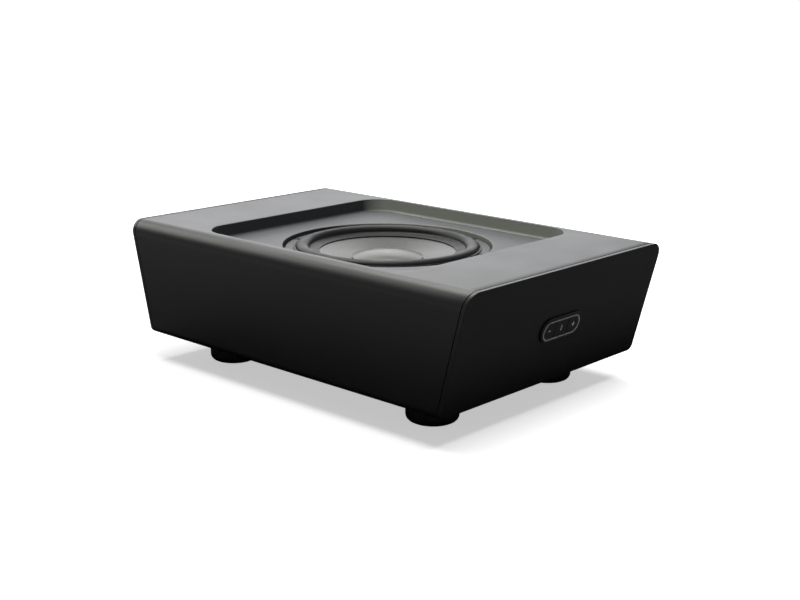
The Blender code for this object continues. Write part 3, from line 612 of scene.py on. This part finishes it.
hollow_low, hollow_high = BOTTOM + WALL, TOP - RECESS_DEPTH - BAFFLE
hollow = prism("hollow", HALF_DEPTH - WALL, (hollow_high - hollow_low) / 2, 4 * MM,
               (0, 0, (hollow_high + hollow_low) / 2), LACQUER, "X", (-PAST_ENDS, PAST_ENDS))
pocket = prism("pocket", (PLATE_HIGH.x - PLATE_LOW.x) / 2 + 0.3 * MM,
               (PLATE_HIGH.z - PLATE_LOW.z) / 2 + 0.3 * MM, 5 * MM, (0, 0, PLATE_Z), LACQUER, "Y",
               (HALF_DEPTH - 4.8 * MM, HALF_DEPTH + 10 * MM))
window = prism("window", 68 * MM, 25 * MM, 4 * MM, (0, 0, PLATE_Z), LACQUER, "Y",
               (HALF_DEPTH - 30 * MM, HALF_DEPTH + 9 * MM))
carve(sleeve, hollow, pocket, window)
stand_for(sleeve, "cabinet_body", "cabinet_lacquer", "cabinet_sleeve")

# %% [markdown]
# ## The end boards
# Each end is a 4 mm board with the tube's own outline, with a step behind that fits the tube. The
# thin seam between board and tube is what the eye follows round the end. The board is a stack of
# outlines, each lying in a plane parallel to the leaning end. The right board has an oval hole for
# the key panel, so its loops start and end on that oval. A mirrored copy in x makes the left one.

# %% End boards
KEY_Y, KEY_Z = middle("control_bezel")[1], BOTTOM + 55.3 * MM
OUTLINE_Z = (TOP + BOTTOM) / 2
KEY_HOLE = (30.0 * MM, 11.65 * MM)
EDGE, BACK_EDGE, STEP = 0.35 * MM, 0.2 * MM, 8.0 * MM


def board_outline(inset, shrink):
    """The tube's outline, shrunk, in a plane set in from the leaning end."""
    radii = [TOP_ROUND - shrink] * 2 + [BOTTOM_ROUND - shrink] * 2
    flat = rounded_rectangle(HALF_DEPTH - shrink, OUTLINE_Z - BOTTOM - shrink, radii)
    z = flat[:, 1] + OUTLINE_Z
    return np.column_stack([end_x(z, inset), flat[:, 0], z])


def plug_outline(inset):
    """The step behind the board, half a millimetre clear of the hollow."""
    clear = 0.5 * MM
    half_y, half_z = HALF_DEPTH - WALL - clear, (hollow_high - hollow_low) / 2 - clear
    flat = rounded_rectangle(half_y, half_z, 3.5 * MM)
    z = flat[:, 1] + (hollow_high + hollow_low) / 2
    return np.column_stack([end_x(z, inset), flat[:, 0], z])


def key_panel_point(flat, proud):
    """Points (across, up the slope) of the key panel, standing proud of the board's face."""
    across, up = flat[:, 0], flat[:, 1]
    origin = np.array([end_x(KEY_Z), KEY_Y, KEY_Z])
    climb = np.array([LEAN, 0, 1]) / SLOPE
    outward = np.array([1, 0, -LEAN]) / SLOPE
    return (origin + across[:, None] * np.array([0, 1, 0]) + up[:, None] * climb
            + np.asarray(proud).reshape(-1, 1) * outward)


def board_loops(with_hole):
    """Loops from the middle of the face, over the edge, along the step to the middle behind."""
    outside = [board_outline(0, EDGE + 0.5 * MM)]
    outside += [board_outline(EDGE * behind, EDGE * inward) for behind, inward in quarter(6)]
    outside += [board_outline(BOARD - BACK_EDGE, 0), board_outline(BOARD, BACK_EDGE),
                plug_outline(BOARD), plug_outline(BOARD + STEP)]
    if not with_hole:
        centre = outside[0].mean(axis=0)
        return np.array([outside[0] + (centre - outside[0]) * 0.6] + outside)
    flat = board_outline(0, 0)[:, 1:] - np.array([KEY_Y, KEY_Z])
    hole = toward(flat, KEY_HOLE[0], KEY_HOLE[1])
    wider = toward(flat, KEY_HOLE[0] + 0.3 * MM, KEY_HOLE[1] + 0.3 * MM)
    return np.array([key_panel_point(hole, -0.3 * MM), key_panel_point(wider, 0.0)] + outside
                    + [key_panel_point(hole, -BOARD - STEP)])


right_board = skin("end_board_right", board_loops(True), LACQUER, ring=True)
left_loops = board_loops(False)
left_board = skin("end_board_left", left_loops * np.array([-1, 1, 1]), LACQUER)
stand_for(right_board, "cabinet_body", "cabinet_lacquer", "end_panel_right")
stand_for(left_board, "cabinet_body", "cabinet_lacquer", "end_panel_left")

# %% [markdown]
# ## Finishes of the woofer
# Three real surfaces meet here. The basket is pressed steel with a black powder coat, whose fine
# grain is about a millimetre across. The surround is moulded butyl rubber, satin and slightly
# mottled by its release agent. The cone and its cap are spun aluminium, brushed while turning and
# then anodised grey, so fine rings run round them and stretch each highlight across the rings.

# %% Powder coat, rubber and spun aluminium


def spun_aluminium():
    made, tree, shader, coords = start_finish("grey_anodised_spun_aluminium", Metallic=1.0,
                                              Anisotropic=0.4)
    place = add(tree, "ShaderNodeSeparateXYZ", {0: coords})
    flat = add(tree, "ShaderNodeCombineXYZ", {"X": place.outputs["X"], "Y": place.outputs["Y"]})
    radius = add(tree, "ShaderNodeVectorMath", {0: flat.outputs[0]}, operation="LENGTH")
    along = add(tree, "ShaderNodeCombineXYZ", {"X": radius.outputs["Value"]}).outputs[0]
    rings = speckle(tree, along, 0.45 * MM, detail=3.0)
    bands = speckle(tree, along, 5 * MM, detail=2.0)
    roughen(tree, shader, calculate(tree, "ADD", rings, bands), 0.008 * MM)
    tree.links.new(tint(tree, bands, "#525250", "#5A5A57"), shader.inputs["Base Color"])
    tree.links.new(spread(tree, rings, 0.26, 0.34), shader.inputs["Roughness"])
    turning = add(tree, "ShaderNodeTangent", direction_type="RADIAL", axis="Z")
    tree.links.new(turning.outputs[0], shader.inputs["Tangent"])
    return made


POWDER = mottled("powder_coated_steel", ("#101011", "#151516"), (0.38, 0.46), (18, 2.0), (0.9, 2.0),
                 depth=0.03, rough_grain=True, IOR=1.5)
RUBBER = mottled("moulded_butyl_rubber", ("#111112", "#18181A"), (0.38, 0.46), (14, 3.0),
                 (0.8, 3.0), depth=0.02, Specular_IOR_Level=0.2)
SPUN = spun_aluminium()
print("finishes:", POWDER.name, RUBBER.name, SPUN.name)

# %% [markdown]
# ## Basket
# A turned profile with soft pressed edges gives the flange, the sloping wall, the shelf for the
# spider and the seat for the magnet. Six windows let the air out behind the cone, and eight screw
# holes are sunk in the flange.

# %% Basket
SCREW_CIRCLE, SCREWS = 98.5 * MM, 8


def below_top(points):
    """(radius, depth) in metres as (radius, height)."""
    return np.column_stack([points[:, 0], TOP - points[:, 1]])


basket_profile = profile_of([(103.3, 16.9, 0.7), (103.3, 19.1, 0.5), (93.8, 19.1),
                             (93.2, 23.5, 1.0), (60.5, 43.2, 1.0), (53.7, 43.2, 0.4),
                             (53.7, 51.7, 0.6), (30.0, 51.7), (30.0, 50.2), (52.2, 50.2),
                             (52.2, 41.6, 0.4), (59.5, 41.6, 1.0), (91.4, 22.3, 1.0),
                             (91.4, 16.9, 0.5)], closed=True)
basket = turned("basket_frame", below_top(basket_profile), POWDER, hollow=True)


def drum(name, x, y, radius, low, high, steps=32):
    """An upright cylinder between two heights, used as a cutter."""
    return turned(name, [(radius, low), (radius, high)], POWDER, (x, y, 0), steps=steps)


def window_cutter(index):
    """One sixth of the ring between two radii, 40 degrees wide, as a closed block."""
    angle = np.radians(60 * index + np.linspace(-20, 20, 13))
    flat = np.vstack([86 * MM * np.stack([np.cos(angle), np.sin(angle)], axis=1),
                      64 * MM * np.stack([np.cos(angle), np.sin(angle)], axis=1)[::-1]])
    return skin("window_%d" % index, np.array([at_height(flat, TOP - 60 * MM),
                                               at_height(flat, TOP - 24.5 * MM)]), POWDER)


screw_angles = [math.tau * (i + 0.5) / SCREWS for i in range(SCREWS)]
screw_places = [(SCREW_CIRCLE * math.cos(a), SCREW_CIRCLE * math.sin(a)) for a in screw_angles]
cutters = [window_cutter(i) for i in range(6)]
for index, (x, y) in enumerate(screw_places):
    cutters.append(drum("hole_%d" % index, x, y, 2.1 * MM, TOP - 25 * MM, TOP - 10 * MM))
    cutters.append(drum("sink_%d" % index, x, y, 3.6 * MM, TOP - 18.2 * MM, TOP - 10.5 * MM))
carve(basket, *cutters)
stand_for(basket, "cabinet_body", "basket_steel", "woofer_basket")

# %% [markdown]
# ## Surround
# The half roll is the part that lets the cone travel. Its section is an arch: an outer lip glued to
# the flange, a roll, an inner foot and a flat inner lip glued on the cone. On the woofer the outer
# foot stays with the basket and the inner lip travels with the cone; here the piece is one fixed
# shape, which is not blended between bodies.

# %% Surround
ROLL_OUTER, ROLL_INNER, CREST, THICK = 92.8 * MM, 78.6 * MM, 11.8 * MM, 0.8 * MM
OUTER_FOOT, INNER_FOOT = 16.6 * MM, 18.5 * MM
LIP_INNER, CONE_RIM, CONE_RIM_DEPTH, CONE_FALL = 68.6 * MM, 78.2 * MM, 18.8 * MM, 0.205


def roll_profile(inset, steps=40):
    """The arch between its feet: a half ellipse whose inner side drops further than its outer."""
    angle = np.linspace(0, math.pi, steps + 1)
    centre, half_width = (ROLL_OUTER + ROLL_INNER) / 2, (ROLL_OUTER - ROLL_INNER) / 2
    foot = np.where(2 * angle < math.pi, OUTER_FOOT, INNER_FOOT)
    drop = (foot - CREST - inset) * (1 - np.sin(angle))
    return np.column_stack([centre + (half_width - inset) * np.cos(angle), CREST + inset + drop])


def cone_depth(radius):
    """Depth of the cone's upper face: it falls evenly towards the middle."""
    return CONE_RIM_DEPTH + (CONE_RIM - radius) * CONE_FALL


def inner_lip(gap):
    """The flat lip inside the roll, lying on the cone with a gap, from its foot to its rim."""
    radius = np.linspace(ROLL_INNER - 0.9 * MM, LIP_INNER, 7)
    return np.column_stack([radius, cone_depth(radius) - gap])


upper = roll_profile(0)
upper = upper[(upper[:, 1] < OUTER_FOOT - THICK) | (upper[:, 0] < ROLL_INNER + 5 * MM)]
upper = upper[upper[:, 1] < INNER_FOOT - 1.1 * MM]
outer_lip = [(94.6 * MM, OUTER_FOOT - 0.1 * MM), (94.8 * MM, OUTER_FOOT - 0.3 * MM),
             (94.7 * MM, OUTER_FOOT - THICK), (ROLL_OUTER + 0.3 * MM, OUTER_FOOT - THICK)]
lower = roll_profile(THICK)
lower = lower[lower[:, 1] < INNER_FOOT - 0.4 * MM]
lip_top, lip_under = inner_lip(0.9 * MM), inner_lip(0.2 * MM)
surround_profile = np.vstack([outer_lip, upper, lip_top, lip_under[::-1], lower[::-1],
                              [(ROLL_OUTER - 0.8 * MM, OUTER_FOOT)]])
surround = turned("surround_roll", below_top(surround_profile), RUBBER, hollow=True, sharp=60)
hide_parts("surround")


def blend_by_radius(piece, outer, inner):
    """Bakes a ring's transform and reads its points; it makes no blend, and only prints the two
    radii.
    """
    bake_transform(piece)
    count = len(piece.data.vertices)
    places = np.empty(count * 3)
    piece.data.vertices.foreach_get("co", places)
    print(piece.name, "blends between %.1f and %.1f mm" % (outer / MM, inner / MM))


blend_by_radius(surround, ROLL_OUTER, ROLL_INNER)

# %% [markdown]
# ## Cone and cap
# The cone is a shallow dish of spun sheet. The cap is a low dome whose rim stands just above the
# cone, and a thin dark joint remains where the rubber lip ends. Both are turned profiles with a
# real thickness, so their rims look right from any side.

# %% Cone and cap
CONE_SHEET, CONE_NECK, CAP_RADIUS, CAP_RISE = 0.9 * MM, 20.1 * MM, 36.0 * MM, 5.5 * MM
radii = np.linspace(CONE_RIM, CONE_NECK, 24)
face = np.column_stack([radii, cone_depth(radii)])
behind = np.column_stack([radii, cone_depth(radii) + CONE_SHEET])
cone = turned("cone_dish", below_top(np.vstack([face, behind[::-1]])), SPUN, hollow=True)
stand_for(cone, "cone_body", "cone_aluminium", "cone")

cap_rim = cone_depth(CAP_RADIUS) - 1.1 * MM
bulge = (CAP_RADIUS ** 2 + CAP_RISE ** 2) / (2 * CAP_RISE)
reach = math.asin(CAP_RADIUS / bulge)
tilt = np.linspace(0.02 * reach, reach, 28)


def dome(radius):
    """Spherical cap, from near its top to its rim."""
    depth = cap_rim - CAP_RISE + bulge - radius * np.cos(tilt)
    return np.column_stack([radius * np.sin(tilt), depth])


cap = turned("dust_cap_dome", below_top(np.vstack([dome(bulge), dome(bulge - THICK)[::-1]])), SPUN)
stand_for(cap, "cone_body", "cone_aluminium", "dust_cap")

# %% [markdown]
# ## Screws
# Black zinc-plated pan heads with a round socket. Plating leaves a thin film with a dull sheen, and
# its pores are far too fine to show, so the grain is drawn at half a millimetre.

# %% Screws
BLACK_ZINC = mottled("black_zinc_plated_steel", ("#1C1C1D", "#262627"), (0.32, 0.44), (0.5, 2.0),
                     Metallic=0.9)
woofer_screw = profile_of([(0.05, 17.7), (1.5, 17.7), (1.6, 17.0, 0.1), (2.6, 17.0, 0.4),
                           (3.2, 17.5, 0.2), (3.2, 17.9), (1.7, 17.9), (1.7, 24.6), (0.9, 26.0),
                           (0.05, 26.0)])
for index, (x, y) in enumerate(screw_places):
    screw = turned("flange_screw_%d" % (index + 1), below_top(woofer_screw), BLACK_ZINC, (x, y, 0),
                   steps=32)
    stand_for(screw, "cabinet_body", "screw_steel", "woofer_screw_%d" % (index + 1))

# %% [markdown]
# ## Key panel
# A raised oval frame of moulded ABS sits in the end board, a thin ring of grey light guide lies
# inside it, and three rubber-feel keys fill the oval. ABS takes the fine spark texture of its
# mould, which softens its gloss. The light guide is a milky grey plastic that glows only when the
# unit is on; here it is off. All of these are ovals stacked along the panel's own normal.

# %% Plastics
ABS = mottled("spark_textured_abs", ("#0A0A0B", "#0D0D0E"), (0.30, 0.40), (9, 2.0), (0.35, 2.0),
              depth=0.01, rough_grain=True, IOR=1.54)
GUIDE = mottled("milky_polycarbonate", ("#6E6E72", "#7C7C80"), (0.30, 0.38), (2.5, 2.0), IOR=1.58)
INK = mottled("pad_printed_ink", ("#8C8C90", "#A0A0A4"), (0.5, 0.6), (0.4, 1.0), IOR=1.5)
print("plastics:", ABS.name, GUIDE.name, INK.name)

# %% [markdown]
# The frame stands 2.1 mm proud of the board and its outer edge is rounded, so it catches a thin
# line of light. The ring stands a little lower than the frame and a little higher than the keys.

# %% Bezel and light ring


def oval_stack(name, sections, finish, half):
    """Ovals shrunk and raised by (shrink, proud) pairs in metres, skinned as one band."""
    loops = [key_panel_point(oval(half[0] - shrink, half[1] - shrink), proud)
             for shrink, proud in sections]
    return skin(name, np.array(loops), finish, ring=True)


BEZEL_HALF, RING_HALF, RING_WIDTH = (31.0 * MM, 12.65 * MM), (27.9 * MM, 9.55 * MM), 1.3
bezel_section = profile_of([(0.0, 0.3), (0.0, 2.1, 0.7), (2.8, 2.1, 0.35), (2.8, -9.0), (1.3, -9.0),
                            (1.3, 0.3)], closed=True)
bezel = oval_stack("key_bezel", bezel_section, ABS, BEZEL_HALF)
stand_for(bezel, "cabinet_body", "moulded_abs", "control_bezel")
ring_section = profile_of([(0.0, -1.5), (0.0, 1.9, 0.25), (RING_WIDTH, 1.9, 0.25),
                           (RING_WIDTH, -1.5)], closed=True)
glow_ring = oval_stack("light_ring_band", ring_section, GUIDE, RING_HALF)
stand_for(glow_ring, "cabinet_body", "light_guide", "light_ring")

# %% [markdown]
# The keys share one oval, split by two straight cuts. A key's outline is a half circle at a round
# end and a straight line at a cut, so its loop is one formula: two columns of points whose height
# is the radius times the sine of an angle, and whose place across is the half circle or the cut.

# %% Keys and their printed marks
KEY_SHRINK = 1.6 * MM
KEY_EDGES = {"minus": (None, -9.6), "power": (-9.3, 9.3), "plus": (9.6, None)}


def key_loop(low, high, shrink, proud):
    """Outline of one key, shrunk all round, at a height above the board's face."""
    angle = np.linspace(-math.pi / 2, math.pi / 2, OVAL_STEPS + 1)
    radius = RING_HALF[1] - KEY_SHRINK - shrink
    straight = RING_HALF[0] - RING_HALF[1]
    bulge_out, rise = radius * np.cos(angle), radius * np.sin(angle)
    cut = max(shrink, 0)
    right = straight + bulge_out if high is None else np.full_like(rise, high * MM - cut)
    left = -straight - bulge_out if low is None else np.full_like(rise, low * MM + cut)
    flat = np.vstack([np.column_stack([right, rise]), np.column_stack([left, rise])[::-1]])
    return key_panel_point(flat, proud)


def key_cap(name, low, high):
    """A key with a soft edge, a slightly dished face and a flange behind the light ring."""
    section = [(6.0, 1.43), (4.0, 1.45), (1.5, 1.5), (0.45, 1.5), (0.15, 1.38), (0.0, 1.1),
               (0.0, -1.8), (-1.4, -1.8), (-1.4, -3.5), (4.0, -3.5)]
    loops = [key_loop(low, high, shrink * MM, proud * MM) for shrink, proud in section]
    return skin(name, np.array(loops), ABS)


def bar_loop(half_x, half_y, centre, proud):
    """A small upright rectangle on the key panel."""
    flat = np.array([(half_x, -half_y), (half_x, half_y), (-half_x, half_y), (-half_x, -half_y)])
    return key_panel_point(flat + np.array([centre, 0]), proud)


def cross_loop(half, arm, centre, proud):
    """A plus sign's twelve corners."""
    quarter = np.array([(half, -arm), (half, arm), (arm, arm)])
    turn = np.array([[0, -1], [1, 0]])
    flat = np.vstack([quarter @ np.linalg.matrix_power(turn.T, k) for k in range(4)])
    return key_panel_point(flat + np.array([centre, 0]), proud)


def mark(name, loop_at):
    """A printed mark: one outline carried from just under the key's face to just above it."""
    return skin(name, np.array([loop_at(1.30 * MM), loop_at(1.56 * MM)]), INK)


marks = {"minus": mark("minus_mark", lambda z: bar_loop(1.5 * MM, 0.45 * MM, -18.4 * MM, z)),
         "power": mark("power_mark", lambda z: bar_loop(0.42 * MM, 2.8 * MM, 0.0, z)),
         "plus": mark("plus_mark", lambda z: cross_loop(2.1 * MM, 0.48 * MM, 18.4 * MM, z))}
for which, (low, high) in KEY_EDGES.items():
    cap_piece = key_cap(which + "_key_cap", low, high)
    stand_for(cap_piece, which + "_key_body", "moulded_abs", which + "_key")
    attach(marks[which], which + "_key_body")

# %% [markdown]
# ## Feet
# Turned pucks of hard rubber with a soft lower edge, screwed on from below. Moulded rubber is dull,
# with a faint bloom, so its roughness varies over a centimetre or so.

# %% Feet
HARD_RUBBER = mottled("moulded_hard_rubber", ("#0C0C0D", "#131314"), (0.42, 0.55), (11, 3.0),
                      (0.6, 2.0), depth=0.02, IOR=1.52)
ZINC = mottled("zinc_plated_steel", ("#B4B4B0", "#C6C6C2"), (0.28, 0.42), (1.5, 2.0), Metallic=1.0)
foot_profile = profile_of([(2.5, 28.7), (23.6, 28.7, 0.5), (25.0, 27.3, 1.0), (25.0, 0.0, 6.5),
                           (5.5, 0.0, 0.4), (5.5, 8.0), (2.5, 8.0)], closed=True)
foot_screw = profile_of([(0.05, 38.4), (1.2, 38.4), (2.0, 36.5), (2.0, 7.7), (4.6, 7.7, 0.3),
                         (4.6, 5.2, 0.8), (1.6, 4.8), (1.6, 6.2), (0.05, 6.2)])
for place in ("front_left", "front_right", "rear_left", "rear_right"):
    centre = middle("foot_" + place)[:2] + (0,)
    foot = turned("foot_puck_" + place, foot_profile, HARD_RUBBER, centre, steps=96, hollow=True)
    stand_for(foot, "cabinet_body", "foot_rubber", "foot_" + place)
    bolt = turned("foot_bolt_" + place, foot_screw, ZINC, centre, steps=32)
    stand_for(bolt, "cabinet_body", "plated_steel", "foot_screw_" + place)

# %% [markdown]
# ## Rear plate and sockets
# The amplifier hangs on an aluminium plate, brushed along its length and anodised black. Brushing
# leaves streaks that run across, a fraction of a millimetre high and tens of millimetres long. The
# plate is a prism with a soft edge, cut for the inlet, the jack and the screws.

# %% Rear plate


def brushed_anodised():
    made, tree, shader, coords = start_finish("brushed_black_anodised_aluminium", Metallic=0.85,
                                              Anisotropic=0.4)
    stretched = add(tree, "ShaderNodeMapping", {"Vector": coords, "Scale": (0.02, 1.0, 1.0)})
    streak = speckle(tree, stretched.outputs[0], 0.5 * MM, detail=3.0)
    roughen(tree, shader, streak, 0.008 * MM)
    tree.links.new(tint(tree, streak, "#1B1B1C", "#29292A"), shader.inputs["Base Color"])
    tree.links.new(spread(tree, streak, 0.32, 0.46), shader.inputs["Roughness"])
    return made


BRUSHED = brushed_anodised()
PLATE_SUNK = 2.0 * MM               # how far the plate's face lies behind the wall's


def on_back(flat, x, behind):
    """A flat (across, up) outline on the back wall, at a depth behind the wall's face."""
    return np.column_stack([x + flat[:, 0], np.full(len(flat), HALF_DEPTH - behind),
                            PLATE_Z + flat[:, 1]])


def rear_loops(half_x, half_z, corner, sections, x=0.0):
    """Rounded rectangles on the back wall, shrunk and set behind the plate's face."""
    return np.array([on_back(rounded_rectangle(half_x * MM - shrink, half_z * MM - shrink,
                                               max(corner * MM - shrink, 0.2 * MM)),
                             x, PLATE_SUNK + behind)
                     for shrink, behind in np.asarray(sections) * MM])


def along_back(profile, x, z, name, finish, steps=32):
    """Turns a (radius, behind the wall) profile about an axis along Y."""
    angle = np.linspace(0, math.tau, steps, endpoint=False)
    radius, behind_wall = profile[:, 0, None], profile[:, 1, None]
    loops = np.stack([x + radius * np.cos(angle), HALF_DEPTH - behind_wall + 0 * angle,
                      PLATE_Z + z + radius * np.sin(angle)], axis=-1)
    return skin(name, loops, finish)


def rear_drum(name, x, z, radius, front, back):
    """A cylinder along Y at a place on the plate, between two depths behind the plate's face."""
    ends = np.array([(radius, PLATE_SUNK + front), (radius, PLATE_SUNK + back)])
    return along_back(ends, x, z, name, BRUSHED, steps=40)


INLET_X, JACK_X = middle("mains_inlet")[0], middle("line_in_socket")[0]
edge_section = [(20.0, 0.0), (0.8, 0.0), (0.3, 0.08), (0.08, 0.3), (0.0, 0.8), (0.0, 2.5),
                (20.0, 2.5)]
plate = skin("rear_plate_face", rear_loops(75, 31, 4.7, edge_section), BRUSHED)
rear_places = [(x * MM, z * MM) for x in (-71, 71) for z in (-27, 27)]
cutters = [rear_drum("screw_hole_%d" % i, x, z, 2.0 * MM, -3 * MM, 6 * MM)
           for i, (x, z) in enumerate(rear_places)]
cutters.append(rear_drum("jack_hole", JACK_X, 0, 4.5 * MM, -3 * MM, 6 * MM))
cutters.append(skin("inlet_hole", rear_loops(11.8, 6.8, 3, [(0, -3), (0, 6)], INLET_X), BRUSHED))
carve(plate, *cutters)
for index, (x, z) in enumerate([(x * MM, z * MM) for x in (-62, 62) for z in (-20, 20)]):
    pillar = rear_drum("plate_pillar_%d" % (index + 1), x, z, 3 * MM, 2.55 * MM, 16.0 * MM)
    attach(pillar, "cabinet_body")
stand_for(plate, "cabinet_body", "plate_aluminium", "rear_plate")

# %% [markdown]
# Everything that sits in the plate is turned about an axis along Y, apart from the inlet, which is
# a moulded block with an oval socket cut into it and two round pins standing inside.

# %% Rear screws, inlet and jack
rear_screw = profile_of([(0.05, 1.2), (1.2, 1.2), (1.2, 0.5), (2.4, 0.5, 0.4), (3.0, 1.0, 0.2),
                         (3.0, 1.7), (1.5, 1.7), (1.5, 9.5), (0.8, 10.8), (0.05, 10.8)])
for index in range(4):
    x, _, z = middle("rear_screw_%d" % (index + 1))
    screw = along_back(rear_screw, x, z - PLATE_Z, "plate_screw_%d" % (index + 1), BLACK_ZINC)
    stand_for(screw, "cabinet_body", "screw_steel", "rear_screw_%d" % (index + 1))

jack_profile = profile_of([(0.05, 13.0), (1.8, 13.0), (1.8, 0.4, 0.2), (5.6, 0.4, 0.2), (6.0, 0.8),
                           (6.0, 1.7), (4.0, 1.7), (4.0, 15.0), (0.05, 15.0)])
jack = along_back(jack_profile, JACK_X, 0, "jack_nut", ABS, steps=48)
stand_for(jack, "cabinet_body", "moulded_abs", "line_in_socket")

inlet_section = [(8.0, -1.7), (0.5, -1.7), (0.15, -1.55), (0.0, -1.2), (0.0, -0.3), (2.5, -0.3),
                 (2.5, 15.0), (8.0, 15.0)]
inlet = skin("inlet_block", rear_loops(14, 9, 3, inlet_section, INLET_X), ABS)
socket_loops = [on_back(oval(8.8 * MM, 4.7 * MM), INLET_X, depth) for depth in (14 * MM, -5 * MM)]
carve(inlet, skin("socket_cutter", np.array(socket_loops), ABS))
stand_for(inlet, "cabinet_body", "moulded_abs", "mains_inlet")
pin_profile = profile_of([(0.05, 4.0), (1.1, 4.0, 0.4), (1.1, 14.6), (0.05, 14.6)])
for side, off_centre in (("left", -4.6 * MM), ("right", 4.6 * MM)):
    pin = along_back(pin_profile, INLET_X + off_centre, 0, "inlet_pin_" + side, ZINC, steps=20)
    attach(pin, "cabinet_body")

# %% [markdown]
# ## Parts inside
# Nothing inside shows from outside, but a part library is also taken apart. The CAD shapes stay,
# and each gets the finish of its real material: ferrite, copper wire, foam, glass fibre.

# %% Inner finishes


def plain_finish(name, first, second, size, rough, depth=0.0, **sockets):
    """Two close colours mixed by one noise of a size in mm, which also sets roughness and bump."""
    return mottled(name, (first, second), rough, (size, 3.0), depth=depth, **sockets)


INNER = [
    (plain_finish("raw_fibreboard", "#9A7A55", "#B08F68", 0.8, (0.8, 0.9), 0.05),
     ["brace_left", "brace_right"]),
    (plain_finish("closed_cell_foam", "#121212", "#1E1E1E", 0.6, (0.85, 0.95), 0.1),
     ["end_gasket_left", "end_gasket_right", "woofer_gasket"]),
    (ABS, ["key_board_cover"]),
    (plain_finish("moulded_silicone", "#262626", "#303030", 4.0, (0.5, 0.6)), ["key_mat"]),
    (plain_finish("solder_masked_glass_fibre", "#0F3A20", "#15492A", 1.2, (0.35, 0.5)),
     ["key_board", "amplifier_board", "terminal_strip"]),
    (POWDER, ["top_plate", "back_plate"]),
    (plain_finish("aluminium_foil", "#B9B9BA", "#C8C8C9", 1.0, (0.3, 0.4), Metallic=1.0),
     ["voice_coil_former"]),
    (plain_finish("enamelled_copper_wire", "#B5683C", "#C97B4A", 0.3, (0.25, 0.4), 0.02,
                  Metallic=1.0), ["voice_coil"]),
    (plain_finish("sintered_ferrite", "#2B2B2E", "#38383B", 1.0, (0.6, 0.75), 0.02), ["magnet"]),
    (BRUSHED, ["heat_sink"]),
    (plain_finish("laminated_steel", "#8C8C8C", "#A4A4A4", 0.5, (0.3, 0.45), 0.02, Metallic=1.0),
     ["transformer"]),
    (plain_finish("shrink_sleeve", "#141416", "#1C1C1F", 3.0, (0.3, 0.4)),
     ["capacitor_1", "capacitor_2"]),
]
for finish, names in INNER:
    for name in names:
        NODES[name].data.materials.clear()
        NODES[name].data.materials.append(finish)
print("inner finishes:", len(INNER))

# %% [markdown]
# The spider is a ring of resin-dipped cloth pressed into three waves. Its rim is glued to the
# basket and its inner edge to the coil's former; here, like the surround, it is one fixed shape,
# not blended between bodies. The depth follows a cosine of the radius, and the rim and the collar
# are flat.

# %% Spider
COLLAR, RIM, WAVES_FROM, WAVES_TO = 20.1 * MM, 58.9 * MM, 25.0 * MM, 51.5 * MM
CLOTH = plain_finish("phenolic_cloth", "#8A5A22", "#A06C30", 0.5, (0.8, 0.95), 0.08)
radii = np.linspace(COLLAR, RIM, 80)
along = np.clip((radii - WAVES_FROM) / (WAVES_TO - WAVES_FROM), 0, 1)
depth = 40.4 * MM + 0.8 * MM * (1 - np.cos(3 * math.tau * along)) + 0.2 * MM * along
cloth_top, cloth_under = np.column_stack([radii, depth]), np.column_stack([radii, depth + 0.7 * MM])
spider = turned("spider_waves", below_top(np.vstack([cloth_top, cloth_under[::-1]])), CLOTH,
                hollow=True, sharp=60)
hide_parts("spider")
blend_by_radius(spider, WAVES_TO, WAVES_FROM)
